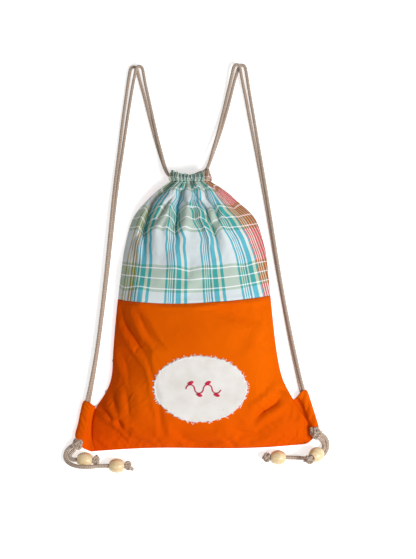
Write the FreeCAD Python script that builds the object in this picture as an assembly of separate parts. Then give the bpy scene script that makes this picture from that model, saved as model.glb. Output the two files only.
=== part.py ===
"""A cloth drawstring backpack lying on its back, made piece by piece.

Millimetres. +Z is up, out of the surface it lies on, +Y points at the gathered neck and +X to the
right as the front is seen. The origin is under the middle of the sack and its tabs, on the surface.
"""

import FreeCAD, Part
import math
import os

V = FreeCAD.Vector
UP = V(0, 0, 1)

# ---- driving dimensions ----
CLOTH = 1.0  # thickness of every cloth panel
SEAM_GAP = 0.2  # room left in a seam between the front and the back
CORD = 4.5  # diameter of the braided cord

# The sack's outline, bottom to neck. Each row is its left point, its right point, how far the middle
# of the row bows towards the neck, and how far the stuffed front stands up there.
ROWS = [
    (-146.0, -197.0, 150.0, -187.0, 0.0, 0.0),
    (-148.0, -181.0, 155.0, -174.0, 0.0, 13.0),
    (-147.5, -157.0, 154.0, -154.0, 0.0, 23.0),
    (-140.0, -137.0, 146.0, -133.0, 0.0, 28.0),
    (-124.0, -113.0, 131.0, -113.0, 0.0, 31.0),
    (-118.0, -91.0, 119.0, -90.0, -2.0, 33.0),
    (-116.0, -58.0, 113.0, -56.0, -4.0, 34.0),
    (-113.0, -20.0, 108.0, -18.0, -6.0, 35.0),
    (-110.0, 17.0, 102.5, 21.0, -8.0, 35.0),
    (-106.0, 53.0, 99.0, 55.0, -8.0, 35.0),
    (-102.0, 88.0, 94.5, 88.0, -6.0, 34.0),
    (-91.5, 126.0, 81.0, 128.0, -4.0, 32.0),
    (-75.0, 149.0, 58.0, 151.0, -2.0, 29.0),
    (-56.0, 167.0, 38.0, 168.0, 0.0, 26.0),
    (-38.0, 179.8, 19.0, 179.8, 0.0, 22.0),
]
SEAM_ROW = 8  # where the orange lower front meets the plaid upper front
COLUMNS = 11  # points across each row of the front's surface

# The neck: a flattened ring of folded cloth that the cords run in.
NECK_LEFT = -39.5
NECK_RIGHT = 20.5
NECK_LOW = 180.0
NECK_HIGH = 197.0
NECK_DEPTH = 25.0
CHANNEL = 6.0  # room between the two walls of the fold
LEFT_CORD_Y = 185.6  # the left cord leaves through the neck's left side
RIGHT_CORD_Y = 191.8  # the right cord leaves through the top edge, near the neck's right end
LEFT_EXIT_X = -28.0
LEFT_EXIT_LOW = 182.6
LEFT_EXIT_HIGH = 191.0
RIGHT_EXIT_X = 8.0
CORD_JOIN = 17.5  # from the neck's end to where a strap strand starts

# The oval patch and the stitched sprig on it.
PATCH_X = 6.0
PATCH_Y = -109.0
PATCH_HALF_W = 67.0
PATCH_HALF_H = 47.5
PATCH_CLOTH = 0.8
EDGE_BAND = 4.0
EDGE_RISE = 0.6
SPRIG_THREAD = 1.4
SPRIG_WAVE = 6.0  # radius of each bow of the stem
SPRIG_BOWS = 4
LEAF_LONG = 4.2
LEAF_WIDE = 2.4

# The corner tabs, as plan outlines; the sack's own outline trims their inner side.
TAB_HEIGHT = 7.8
TAB_LEFT = [
    (-136.0, -139.0),
    (-146.5, -134.5),
    (-147.5, -127.0),
    (-151.0, -124.5),
    (-157.5, -124.5),
    (-160.5, -129.0),
    (-170.0, -173.0),
    (-152.5, -197.0),
    (-146.5, -197.0),
    (-140.0, -180.0),
]
TAB_RIGHT = [
    (136.0, -127.0),
    (141.0, -121.0),
    (141.3, -115.0),
    (144.5, -110.5),
    (151.0, -110.5),
    (154.5, -114.0),
    (170.0, -157.0),
    (167.5, -161.5),
    (158.5, -166.5),
    (158.0, -177.0),
    (150.0, -186.0),
    (140.0, -180.0),
]
PASSAGE_WIDE = 10.0
PASSAGE_HIGH = 5.8
PASSAGE_LEFT = ((-151.1, -116.0), (-166.6, -189.0))
PASSAGE_RIGHT = ((144.4, -105.0), (165.5, -172.0))

# Beads and knots.
BEAD_LONG = 21.0
BEAD_R = 10.3
BEAD_END_R = 6.6
BORE_R = 4.0
END_KNOT_R = 5.2
KNOT_GAP = 14.4  # from a bead's middle to the middle of the knot that stops it
LEFT_KNOT = (-169.5, -188.5, 7.2)
RIGHT_KNOT = (166.0, -171.0, 7.0)

# Each strap strand runs from the channel up to a tight bend and down through its tab to the knot.
# The front strand lies over the back strand where they cross at the bends.
STRAPS = {
    "left_strap_front_strand": [
        (-22, 185.6, 21),
        (-31, 185.8, 20.0),
        (-40.3, 188.0, 14.5),
        (-44.6, 197.5, 10.8),
        (-49, 215, 8.0),
        (-56, 241, 4.8),
        (-62.6, 271, 2.9),
        (-68.6, 298, 3.6),
        (-72.5, 316, 5.6),
        (-74.9, 329, 7.0),
        (-77.0, 341, 7.2),
        (-84.8, 341.2, 7.2),
        (-87.2, 330.5, 7.0),
        (-90.0, 316, 5.6),
        (-93.5, 296, 3.5),
        (-98.3, 266, 2.3),
        (-104, 224, 2.3),
        (-112, 172, 2.3),
        (-118.3, 119.5, 2.3),
        (-124.1, 64, 2.3),
        (-130.3, 8, 2.3),
        (-137, -47, 2.3),
        (-143.6, -91, 2.3),
        (-148.9, -117, 3.2),
        (-153.6, -140, 3.9),
        (-158.9, -165, 3.9),
        (-164.4, -184.5, 4.7),
    ],
    "left_strap_back_strand": [
        (-22, 185.6, 4),
        (-31, 185.8, 3.8),
        (-40.6, 188.6, 3.3),
        (-46, 198.5, 2.6),
        (-51.6, 215, 2.4),
        (-59.4, 241, 2.3),
        (-67.3, 271, 2.3),
        (-73.9, 298, 2.3),
        (-79, 316, 2.3),
        (-82.6, 329.5, 2.3),
        (-85.3, 341, 2.3),
        (-93, 340.8, 2.3),
        (-95.4, 330, 2.3),
        (-97.7, 314, 2.3),
        (-100.6, 293, 2.3),
        (-104.9, 263, 2.3),
        (-110.5, 222, 2.3),
        (-117.1, 171, 2.3),
        (-123.3, 118.5, 2.3),
        (-129.1, 63, 2.3),
        (-135.3, 7, 2.3),
        (-142, -48, 2.3),
        (-148.7, -92, 2.3),
        (-154, -118, 3.2),
        (-158.8, -141, 3.9),
        (-164.1, -166, 3.9),
        (-168.8, -182.8, 4.7),
    ],
    "right_strap_front_strand": [
        (3, 191.8, 21),
        (8.5, 192.4, 20.4),
        (13.6, 197.5, 18.6),
        (17, 206.5, 13.5),
        (21.6, 223.5, 9.5),
        (28.6, 247.5, 6.2),
        (36, 276.5, 3.6),
        (41.6, 301, 3.7),
        (45.5, 317, 5.6),
        (48.3, 330, 7.0),
        (51.3, 343.4, 7.2),
        (59, 343.3, 7.2),
        (60.7, 332, 7.0),
        (63.5, 317.5, 5.6),
        (67.4, 299, 3.6),
        (72.8, 269, 2.3),
        (80.4, 229, 2.3),
        (89.6, 178, 2.3),
        (98.6, 126, 2.3),
        (107.7, 71, 2.3),
        (117.1, 15, 2.3),
        (127, -38, 2.3),
        (136.2, -82, 2.3),
        (141.8, -104.5, 3.0),
        (147, -122, 3.9),
        (152.9, -141, 3.9),
        (159.0, -160, 3.9),
        (163.2, -169.6, 4.7),
    ],
    "right_strap_back_strand": [
        (3, 191.8, 4),
        (8.5, 192.4, 4.3),
        (13.9, 197.6, 5.4),
        (17.4, 207, 4.4),
        (23.6, 224, 2.9),
        (32, 248, 2.3),
        (40.9, 277, 2.3),
        (47, 301.5, 2.3),
        (50.8, 317, 2.3),
        (54.2, 329.5, 2.3),
        (58.8, 343, 2.3),
        (66.6, 343.2, 2.3),
        (68.7, 331.5, 2.3),
        (70.9, 317, 2.3),
        (74.1, 297, 2.3),
        (79.1, 268.5, 2.3),
        (85.9, 228.5, 2.3),
        (94.5, 178, 2.3),
        (103.5, 126.5, 2.3),
        (112.6, 71.5, 2.3),
        (122, 16, 2.3),
        (131.9, -37, 2.3),
        (141.1, -81, 2.3),
        (146.7, -103.5, 3.0),
        (151.9, -121, 3.9),
        (157.8, -140, 3.9),
        (163.9, -159, 3.9),
        (168.2, -168.8, 4.7),
    ],
}
# Each tail runs from its knot to the middle of the end knot that holds its bead on.
TAILS = {
    "left_short_tail": [
        (-171.5, -194, 7),
        (-176.6, -198.4, 6),
        (-178.8, -204.4, 6.6),
        (-174, -208.6, 8.8),
        (-166, -207, 10.2),
        (-154.5, -207.8, 10.3),
        (-142.8, -208.9, 10.3),
    ],
    "left_long_tail": [
        (-174.5, -188.5, 6.5),
        (-181, -193, 4.2),
        (-185, -200.5, 2.8),
        (-184.8, -209, 3.2),
        (-179, -215.7, 5.2),
        (-170, -219.4, 8.6),
        (-158.5, -220.6, 12.6),
        (-147, -219.2, 13.2),
        (-136.5, -216.9, 11.2),
        (-117.5, -216, 10.3),
        (-98.0, -216.1, 10.3),
    ],
    "right_short_tail": [
        (168.5, -175.8, 6.5),
        (173.6, -180.4, 4.6),
        (176.8, -186, 3.8),
        (177.2, -191.4, 5.4),
        (174, -195.6, 8.3),
        (165.3, -200.4, 16.6),
        (156.0, -205.6, 25.7),
    ],
    "right_long_tail": [
        (171.5, -171.5, 7),
        (177.8, -175.6, 5),
        (181.8, -182.5, 3),
        (182.2, -191, 2.4),
        (178.7, -199.6, 2.3),
        (171, -206, 2.3),
        (161, -208, 2.6),
        (150.5, -206.6, 5.2),
        (141.5, -205.3, 9.2),
        (127, -204.8, 10.25),
        (112.5, -204.55, 10.35),
        (98.3, -204.6, 10.3),
    ],
}
# Each bead: its middle, and the way to the knot that stops it.
BEADS = {
    "left_short": ((-157.1, -207.6, BEAD_R), (0.996, -0.087, 0.0)),
    "left_long": ((-112.4, -216.05, BEAD_R), (1.0, 0.0, 0.0)),
    "right_short": ((165.6, -200.2, 16.4), (-0.667, -0.375, 0.643)),
    "right_long": ((112.7, -204.6, BEAD_R), (-1.0, 0.0, 0.0)),
}


# ---- helpers ----
def unit(v):
    return v * (1.0 / v.Length)


def row_point(row, across):
    """A point of the front's underside, across = 0 at the left edge and 1 at the right."""
    left_x, left_y, right_x, right_y, bow, rise = row
    side = 2 * across - 1
    x = left_x + (right_x - left_x) * across
    y = left_y + (right_y - left_y) * across + bow * (1 - side * side)
    z = CLOTH + SEAM_GAP + rise * (1 - 0.6 * side**2 - 0.4 * side**4)
    return V(x, y, z)


def front_face():
    grid = [[row_point(row, i / (COLUMNS - 1)) for i in range(COLUMNS)] for row in ROWS]
    surface = Part.BSplineSurface()
    surface.interpolate(grid)
    return surface.toShape()


def front_layer(low, high):
    """A sheet that follows the front, from low to high above its underside."""
    sheet = FRONT.copy()
    sheet.translate(V(0, 0, low))
    return sheet.extrude(V(0, 0, high - low))


def prism(points, low, high):
    """A straight-sided block on a plan outline."""
    corners = [V(x, y, low) for x, y in points]
    face = Part.Face(Part.makePolygon(corners + corners[:1]))
    return face.extrude(V(0, 0, high - low))


def oval(x, y, half_w, half_h, low, high, turn=0.0):
    """An upright oval block; half_w is measured along X before the turn, in degrees."""
    long_side = V(1, 0, 0)
    if half_h > half_w:
        long_side = V(0, 1, 0)
    ellipse = Part.Ellipse(V(0, 0, low), max(half_w, half_h), min(half_w, half_h))
    edge = ellipse.toShape()
    if long_side.y:
        edge.rotate(V(0, 0, 0), UP, 90)
    edge.rotate(V(0, 0, 0), UP, turn)
    edge.translate(V(x, y, 0))
    return Part.Face(Part.Wire(edge)).extrude(V(0, 0, high - low))


def sack_outline(low, high):
    """An upright block on the sack's whole outline."""
    left = [V(r[0], r[1], low) for r in ROWS]
    right = [V(r[2], r[3], low) for r in ROWS]
    left_curve = Part.BSplineCurve()
    left_curve.interpolate(left)
    right_curve = Part.BSplineCurve()
    right_curve.interpolate(right)
    bottom = Part.LineSegment(left[0], right[0])
    top = Part.LineSegment(left[-1], right[-1])
    wire = Part.Wire(
        Part.__sortEdges__([c.toShape() for c in (left_curve, top, right_curve, bottom)])
    )
    return Part.Face(wire).extrude(V(0, 0, high - low))


def seam_block(shift):
    """Everything below the front seam, moved by shift along Y."""
    left = row_point(ROWS[SEAM_ROW], 0.0)
    middle = row_point(ROWS[SEAM_ROW], 0.5)
    right = row_point(ROWS[SEAM_ROW], 1.0)
    slope = (right.y - left.y) / (right.x - left.x)
    far_left = V(left.x - 30, left.y - 30 * slope + 4 + shift, -5)
    far_right = V(right.x + 30, right.y + 30 * slope + 4 + shift, -5)
    under = V(middle.x, middle.y + shift, -5)
    arc = Part.Arc(far_left, under, far_right).toShape()
    wide = 260
    corners = [V(wide, far_right.y, -5), V(wide, -wide, -5), V(-wide, -wide, -5), V(-wide, far_left.y, -5)]
    sides = Part.makePolygon([far_right] + corners + [far_left])
    wire = Part.Wire(Part.__sortEdges__([arc] + sides.Edges))
    return Part.Face(wire).extrude(V(0, 0, 80))


def rounded_path(route):
    """Straight runs joined by tangent arcs; each arc takes 0.45 of its shorter run."""
    points = [V(*p) for p in route]
    edges = []
    radii = []
    start = points[0]
    for before, corner, after in zip(points, points[1:], points[2:]):
        back = before - corner
        ahead = after - corner
        turn = math.pi - back.getAngle(ahead)
        reach = 0.45 * min(back.Length, ahead.Length)
        radii.append(reach / math.tan(turn / 2))
        first = corner + unit(back) * reach
        last = corner + unit(ahead) * reach
        bisector = unit(unit(back) + unit(ahead))
        middle = corner + bisector * (radii[-1] * (1 / math.cos(turn / 2) - 1))
        edges.append(Part.LineSegment(start, first).toShape())
        edges.append(Part.Arc(first, middle, last).toShape())
        start = last
    edges.append(Part.LineSegment(start, points[-1]).toShape())
    return Part.Wire(edges), radii


def cord(name, route):
    """A plain tube along a route, with its smallest radius and its volume printed."""
    path, radii = rounded_path(route)
    start = V(*route[0])
    circle = Part.Wire(Part.makeCircle(CORD / 2, start, V(*route[1]) - start))
    tube = path.makePipeShell([circle], True, False)
    straight = math.pi * (CORD / 2) ** 2 * path.Length
    if radii:
        print(name, "radii", " ".join(f"{r:.1f}" for r in radii))
    print(name, f"length {path.Length:.1f} volume {tube.Volume:.1f} section x length {straight:.1f}")
    return tube


def barrel_bead(centre, axis):
    """A bored barrel with a rounded side, along axis."""
    half = BEAD_LONG / 2
    side = Part.Arc(V(BEAD_END_R, 0, -half), V(BEAD_R, 0, 0), V(BEAD_END_R, 0, half)).toShape()
    rim = Part.makePolygon([V(BEAD_END_R, 0, half), V(BORE_R, 0, half), V(BORE_R, 0, -half), V(BEAD_END_R, 0, -half)])
    profile = Part.Face(Part.Wire(Part.__sortEdges__([side] + rim.Edges)))
    bead = profile.revolve(V(0, 0, 0), UP, 360)
    bead.Placement = FreeCAD.Placement(centre, FreeCAD.Rotation(UP, axis))
    return bead


def egg(centre, long_r, wide_r, axis):
    """A plain knot: a ball drawn out along axis."""
    profile = Part.Ellipse(V(0, 0, 0), long_r, wide_r)
    half = Part.Arc(profile, 0, math.pi).toShape()
    face = Part.Face(Part.Wire([half, Part.LineSegment(V(-long_r, 0, 0), V(long_r, 0, 0)).toShape()]))
    knot = face.revolve(V(0, 0, 0), V(1, 0, 0), 360)
    knot.Placement = FreeCAD.Placement(centre, FreeCAD.Rotation(V(1, 0, 0), axis))
    return knot


def save(name, shape):
    solid = shape.Solids[0] if len(shape.Solids) == 1 else shape
    if not solid.isValid():
        print("NOT VALID", name)
    box = solid.BoundBox
    print(
        f"{name}: {len(solid.Solids)} solid, x {box.XMin:.1f} {box.XMax:.1f}"
        f" y {box.YMin:.1f} {box.YMax:.1f} z {box.ZMin:.2f} {box.ZMax:.2f} volume {solid.Volume:.0f}"
    )
    solid.exportStep(f"parts/{name}.step")


os.makedirs("parts", exist_ok=True)

# ---- cloth panels ----
FRONT = front_face()
front_sheet = front_layer(0, CLOTH)
below_seam = seam_block(0)
save("front_lower_panel", front_sheet.common(below_seam))
save("front_upper_panel", front_sheet.cut(below_seam))
save("back_panel", sack_outline(0, CLOTH))

# A row of thread that stands on the orange side of the front seam.
thread_band = seam_block(-2.2).cut(seam_block(-3.4))
save("front_seam_stitching", front_layer(CLOTH, CLOTH + 0.5).common(thread_band))


# ---- neck channel ----
def neck_block(inset, low, high):
    """The neck's flattened round section, inset all round, from low to high along Y."""
    r = NECK_DEPTH / 2 - inset
    left = V(NECK_LEFT + NECK_DEPTH / 2, low, NECK_DEPTH / 2)
    right = V(NECK_RIGHT - NECK_DEPTH / 2, low, NECK_DEPTH / 2)
    top = Part.LineSegment(left + UP * r, right + UP * r).toShape()
    bottom = Part.LineSegment(left - UP * r, right - UP * r).toShape()
    out = V(r, 0, 0)
    right_end = Part.Arc(right + UP * r, right + out, right - UP * r).toShape()
    left_end = Part.Arc(left + UP * r, left - out, left - UP * r).toShape()
    wire = Part.Wire(Part.__sortEdges__([top, right_end, bottom, left_end]))
    return Part.Face(wire).extrude(V(0, high - low, 0))


def neck_ring():
    wall = neck_block(0, NECK_LOW, NECK_HIGH)
    mouth = neck_block(CHANNEL + 2 * CLOTH, NECK_LOW - 1, NECK_HIGH + 1)
    room = neck_block(CLOTH, NECK_LOW + CLOTH, NECK_HIGH - CLOTH)
    core = neck_block(CLOTH + CHANNEL, NECK_LOW + CLOTH, NECK_HIGH - CLOTH)
    ring = wall.cut(mouth).cut(room.cut(core))
    slot_start = V(NECK_LEFT - 3, LEFT_EXIT_LOW, CLOTH)
    slot_long = LEFT_EXIT_X - slot_start.x
    left_slot = Part.makeBox(
        slot_long, LEFT_EXIT_HIGH - LEFT_EXIT_LOW, NECK_DEPTH - 2 * CLOTH, slot_start
    ).cut(core)
    exit_low = NECK_HIGH - 2 * CLOTH
    exit_room = neck_block(CLOTH, exit_low, NECK_HIGH + 1).cut(
        neck_block(CLOTH + CHANNEL, exit_low - 1, NECK_HIGH + 2)
    )
    right_exit = exit_room.common(Part.makeBox(30, 60, 60, V(RIGHT_EXIT_X, 150, 0)))
    return ring.cut(left_slot).cut(right_exit)


ring = neck_ring()
front_half = Part.makeBox(200, 60, 60, V(-100, 160, NECK_DEPTH / 2))
save("front_channel", ring.common(front_half))
save("back_channel", ring.cut(front_half))

# The row of thread that closes the channel, on the front of the neck only.
thread_ring = neck_block(-0.5, NECK_LOW + 1.2, NECK_LOW + 2.2).cut(neck_block(0, NECK_LOW, NECK_HIGH))
save("channel_stitching", thread_ring.common(front_half))


def channel_cord(name, y, open_end, closed_end):
    """A cord that goes along the front of the channel, round one end and back."""
    r = NECK_DEPTH / 2 - CLOTH - CHANNEL / 2
    toward = 1 if closed_end > open_end else -1
    start = open_end + toward * CORD_JOIN
    bend = closed_end - toward * NECK_DEPTH / 2
    mid = NECK_DEPTH / 2
    front = Part.LineSegment(V(start, y, mid + r), V(bend, y, mid + r)).toShape()
    turn = Part.Arc(V(bend, y, mid + r), V(bend + toward * r, y, mid), V(bend, y, mid - r)).toShape()
    back = Part.LineSegment(V(bend, y, mid - r), V(start, y, mid - r)).toShape()
    circle = Part.Wire(Part.makeCircle(CORD / 2, V(start, y, mid + r), V(1, 0, 0)))
    save(name, Part.Wire([front, turn, back]).makePipeShell([circle], True, False))


channel_cord("left_cord_in_channel", LEFT_CORD_Y, NECK_LEFT, NECK_RIGHT)
channel_cord("right_cord_in_channel", RIGHT_CORD_Y, NECK_RIGHT, NECK_LEFT)

# ---- patch, its stitched edge and the sprig ----
patch_low = CLOTH
patch_high = CLOTH + PATCH_CLOTH
patch_block = oval(PATCH_X, PATCH_Y, PATCH_HALF_W, PATCH_HALF_H, 0, 80)
save("oval_patch", front_layer(patch_low, patch_high).common(patch_block))

edge_outer = oval(PATCH_X, PATCH_Y, PATCH_HALF_W, PATCH_HALF_H, 0, 80)
edge_inner = oval(PATCH_X, PATCH_Y, PATCH_HALF_W - EDGE_BAND, PATCH_HALF_H - EDGE_BAND, 0, 80)
edge_layer = front_layer(patch_high, patch_high + EDGE_RISE)
save("patch_edge_stitching", edge_layer.common(edge_outer.cut(edge_inner)))


def sprig_block():
    """A stem of half rings that bow up and down in turn, with a leaf in each bow."""
    half_thread = SPRIG_THREAD / 2
    pieces = []
    first_x = PATCH_X - SPRIG_WAVE * (SPRIG_BOWS - 1)
    for i in range(SPRIG_BOWS):
        x = first_x + 2 * SPRIG_WAVE * i
        side = 1 if i % 2 == 0 else -1
        ring = Part.makeCylinder(SPRIG_WAVE + half_thread, 80, V(x, PATCH_Y, 0)).cut(
            Part.makeCylinder(SPRIG_WAVE - half_thread, 80, V(x, PATCH_Y, 0))
        )
        y_low = PATCH_Y if side > 0 else PATCH_Y - 20
        pieces.append(ring.common(Part.makeBox(40, 20, 80, V(x - 20, y_low, 0))))
        leaf_y = PATCH_Y + side * (SPRIG_WAVE + LEAF_WIDE)
        pieces.append(oval(x, leaf_y, LEAF_LONG, LEAF_WIDE, 0, 80, turn=20 * side))
    block = pieces[0]
    for piece in pieces[1:]:
        block = block.fuse(piece)
    return block


sprig_layer = front_layer(patch_high, patch_high + EDGE_RISE)
save("embroidered_motif", sprig_layer.common(sprig_block()))


# ---- corner tabs ----
def tab(outline, passage):
    (x0, y0), (x1, y1) = passage
    along = V(x1 - x0, y1 - y0, 0)
    hole = Part.makeBox(along.Length, PASSAGE_WIDE, PASSAGE_HIGH, V(0, -PASSAGE_WIDE / 2, 0))
    hole.rotate(V(0, 0, 0), UP, math.degrees(math.atan2(along.y, along.x)))
    hole.translate(V(x0, y0, CLOTH))
    sack = sack_outline(-1, 60)
    front = front_layer(-40, 60)
    return prism(outline, 0, TAB_HEIGHT).cut(sack).cut(front).cut(hole)


save("left_tab", tab(TAB_LEFT, PASSAGE_LEFT))
save("right_tab", tab(TAB_RIGHT, PASSAGE_RIGHT))


# ---- cords, knots and beads ----
for name, route in STRAPS.items():
    save(name, cord(name, route))
for name, route in TAILS.items():
    save(name, cord(name, route))

save("left_knot", egg(V(*LEFT_KNOT), 9.5, 7.0, V(-0.3, -0.95, 0)))
save("right_knot", egg(V(*RIGHT_KNOT), 7.2, 6.6, V(0.3, -0.95, 0)))
for name, (middle, axis) in BEADS.items():
    save(f"{name}_bead", barrel_bead(V(*middle), V(*axis)))
    save(f"{name}_end_knot", egg(V(*middle) + unit(V(*axis)) * KNOT_GAP, END_KNOT_R, END_KNOT_R, V(*axis)))
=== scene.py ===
"""The looks of the cloth drawstring backpack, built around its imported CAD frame.

Shapes are worked out in millimetres and made in metres, in the frame's own axes.
"""

import bpy
import math
import numpy as np
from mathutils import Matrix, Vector
from mathutils.bvhtree import BVHTree


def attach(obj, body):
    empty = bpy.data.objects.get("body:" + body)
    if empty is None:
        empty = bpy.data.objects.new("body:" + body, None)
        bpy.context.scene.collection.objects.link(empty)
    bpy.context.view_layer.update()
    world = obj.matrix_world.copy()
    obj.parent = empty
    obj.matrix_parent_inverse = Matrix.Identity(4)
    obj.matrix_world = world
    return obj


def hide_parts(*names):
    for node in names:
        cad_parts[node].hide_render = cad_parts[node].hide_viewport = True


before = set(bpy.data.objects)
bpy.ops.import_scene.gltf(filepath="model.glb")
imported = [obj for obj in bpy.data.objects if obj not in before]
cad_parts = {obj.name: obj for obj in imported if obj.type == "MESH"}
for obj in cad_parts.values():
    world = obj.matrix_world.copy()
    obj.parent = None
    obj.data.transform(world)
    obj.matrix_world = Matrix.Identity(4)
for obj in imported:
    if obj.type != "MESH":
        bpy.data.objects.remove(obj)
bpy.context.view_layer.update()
MM = 0.001

# ---- camera ----
VIEW_MIDDLE = (0.0148, 0.0435)
VIEW_HEIGHT = 0.7826  # how much of the floor the picture takes in, top to bottom
CAMERA_UP = 2.6
SENSOR = 36.0

camera_data = bpy.data.cameras.new("camera")
camera_data.sensor_width = SENSOR
camera_data.lens = SENSOR * CAMERA_UP / VIEW_HEIGHT
camera = bpy.data.objects.new("camera", camera_data)
camera.location = (VIEW_MIDDLE[0], VIEW_MIDDLE[1], CAMERA_UP)
bpy.context.scene.collection.objects.link(camera)
bpy.context.scene.camera = camera


# ---- small helpers ----
def srgb(red, green, blue):
    """A colour given from 0 to 255, as Blender wants it."""
    def linear(part):
        part = part / 255
        return part / 12.92 if part <= 0.04045 else ((part + 0.055) / 1.055) ** 2.4
    return (linear(red), linear(green), linear(blue), 1.0)


def ease(x, low, high):
    """0 below low, 1 above high and smooth between."""
    share = np.clip((x - low) / (high - low), 0, 1)
    return share * share * (3 - 2 * share)


def make_object(name, points, faces, smooth=True):
    """A mesh object from points in millimetres."""
    mesh = bpy.data.meshes.new(name)
    mesh.from_pydata((np.asarray(points, float) * MM).tolist(), [], faces)
    mesh.validate()
    mesh.update()
    mesh.polygons.foreach_set("use_smooth", [smooth] * len(mesh.polygons))
    obj = bpy.data.objects.new(name, mesh)
    bpy.context.scene.collection.objects.link(obj)
    return obj


def add_coordinates(obj, name, values):
    """Pattern coordinates on the mesh's points: one row of three for each."""
    attribute = obj.data.attributes.new(name, "FLOAT_VECTOR", "POINT")
    attribute.data.foreach_set("vector", np.asarray(values, np.float32).ravel())


def grid_faces(rows, columns, closed=False):
    """Faces between the points of a grid; a closed one joins its last column to its first."""
    faces = []
    last = columns if closed else columns - 1
    for j in range(rows - 1):
        for i in range(last):
            right = (i + 1) % columns
            low = j * columns
            high = low + columns
            faces.append((low + i, low + right, high + right, high + i))
    return faces


def apply_modifiers(obj):
    graph = bpy.context.evaluated_depsgraph_get()
    obj.data = bpy.data.meshes.new_from_object(obj.evaluated_get(graph))
    obj.modifiers.clear()


def tube_faces(rows, sides, first):
    """The faces of a tube with closed ends, whose points start at number first."""
    faces = grid_faces(rows, sides, closed=True)
    faces.append(tuple(reversed(range(sides))))
    faces.append(tuple(range((rows - 1) * sides, rows * sides)))
    return [tuple(first + k for k in face) for face in faces]


def thicken(obj, thickness):
    """Gives a sheet its thickness in millimetres, on its inner side."""
    modifier = obj.modifiers.new("thickness", "SOLIDIFY")
    modifier.thickness = thickness * MM
    modifier.offset = -1.0
    modifier.use_even_offset = False
    apply_modifiers(obj)


def finish_piece(obj, material, node, body="sack"):
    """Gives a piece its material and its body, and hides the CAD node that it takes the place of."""
    obj.data.materials.append(material)
    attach(obj, body)
    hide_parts(node)
    # Blender adds .001 to a material's name, because the frame has one of that name.
    return obj


def through(points, count):
    """count places on a smooth line that passes through the points."""
    table = np.array(points, float)
    t = np.linspace(0, len(table) - 1, count)
    return smooth_rows(table, t)


def smooth_rows(table, t):
    """A table's values at row t, on a smooth curve that passes through every row."""
    table = np.array(table, float)
    i = np.clip(np.floor(t).astype(int), 0, len(table) - 2)
    f = (t - i)[:, None]
    before = table[np.maximum(i - 1, 0)]
    low = table[i]
    high = table[i + 1]
    after = table[np.minimum(i + 2, len(table) - 1)]
    square = (2 * before - 5 * low + 4 * high - after) * f**2
    cube = (3 * low - before - 3 * high + after) * f**3
    return 0.5 * (2 * low + (high - before) * f + square + cube)


# ---- material helpers ----
class Shader:
    """A material's node tree, with short ways to add nodes to it."""

    def __init__(self, name):
        self.material = bpy.data.materials.new(name)
        self.material.use_nodes = True
        self.tree = self.material.node_tree
        self.surface = self.tree.nodes["Principled BSDF"]

    def node(self, kind, inputs=(), **settings):
        made = self.tree.nodes.new(kind)
        for key, value in settings.items():
            setattr(made, key, value)
        for key, value in dict(inputs).items():
            self.put(made.inputs[key], value)
        return made

    def put(self, socket, value):
        if isinstance(value, bpy.types.NodeSocket):
            self.tree.links.new(value, socket)
        else:
            socket.default_value = value

    def calc(self, operation, *terms):
        made = self.node("ShaderNodeMath", operation=operation)
        for socket, term in zip(made.inputs, terms):
            self.put(socket, term)
        return made.outputs[0]

    def parts(self, attribute):
        """The three coordinates of a mesh attribute."""
        source = self.node("ShaderNodeAttribute", attribute_name=attribute)
        split = self.node("ShaderNodeSeparateXYZ", {"Vector": source.outputs["Vector"]})
        return split.outputs

    def ramp(self, factor, stops, interpolation="CONSTANT"):
        """stops is a list of (place, colour). Returns the colour and alpha outputs."""
        made = self.node("ShaderNodeValToRGB", {"Fac": factor})
        made.color_ramp.interpolation = interpolation
        elements = made.color_ramp.elements
        elements.remove(elements[1])
        elements[0].position = stops[0][0]
        elements[0].color = stops[0][1]
        for place, colour in stops[1:]:
            elements.new(place).color = colour
        return made.outputs["Color"], made.outputs["Alpha"]

    def mix(self, factor, first, second, blend_type="MIX"):
        made = self.node("ShaderNodeMix", data_type="RGBA", blend_type=blend_type)
        self.put(made.inputs["Factor"], factor)
        self.put(made.inputs[6], first)
        self.put(made.inputs[7], second)
        return made.outputs[2]

    def noise(self, scale, detail=3.0, roughness=0.5):
        place = self.node("ShaderNodeTexCoord")
        made = self.node(
            "ShaderNodeTexNoise",
            {"Vector": place.outputs["Object"], "Scale": scale, "Detail": detail, "Roughness": roughness},
        )
        return made.outputs["Fac"]

    def bump(self, height, distance, strength=1.0):
        made = self.node("ShaderNodeBump", {"Height": height, "Distance": distance, "Strength": strength})
        return made.outputs["Normal"]

    def finish(self, colour, roughness, normal, sheen=0.0, specular=0.3):
        self.put(self.surface.inputs["Base Color"], colour)
        self.put(self.surface.inputs["Roughness"], roughness)
        self.put(self.surface.inputs["Normal"], normal)
        self.surface.inputs["Sheen Weight"].default_value = sheen
        self.surface.inputs["Specular IOR Level"].default_value = specular
        return self.material


def weave(shader, u, v, pitch):
    """The height of a plain weave, from -1 to 1, with its threads pitch millimetres apart."""
    turn = math.pi / pitch
    across = shader.calc("SINE", shader.calc("MULTIPLY", u, turn))
    along = shader.calc("SINE", shader.calc("MULTIPLY", v, turn))
    return shader.calc("MULTIPLY", across, along)


def woven(shader, colour, height, slub, gain, depth, strength, rough, **looks):
    """Ends a cloth's material: its weave and its uneven threads show in the bump and the roughness."""
    normal = shader.bump(shader.calc("ADD", height, shader.calc("MULTIPLY", slub, gain)), depth, strength)
    return shader.finish(colour, shader.calc("MULTIPLY_ADD", slub, *rough), normal, **looks)


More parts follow.
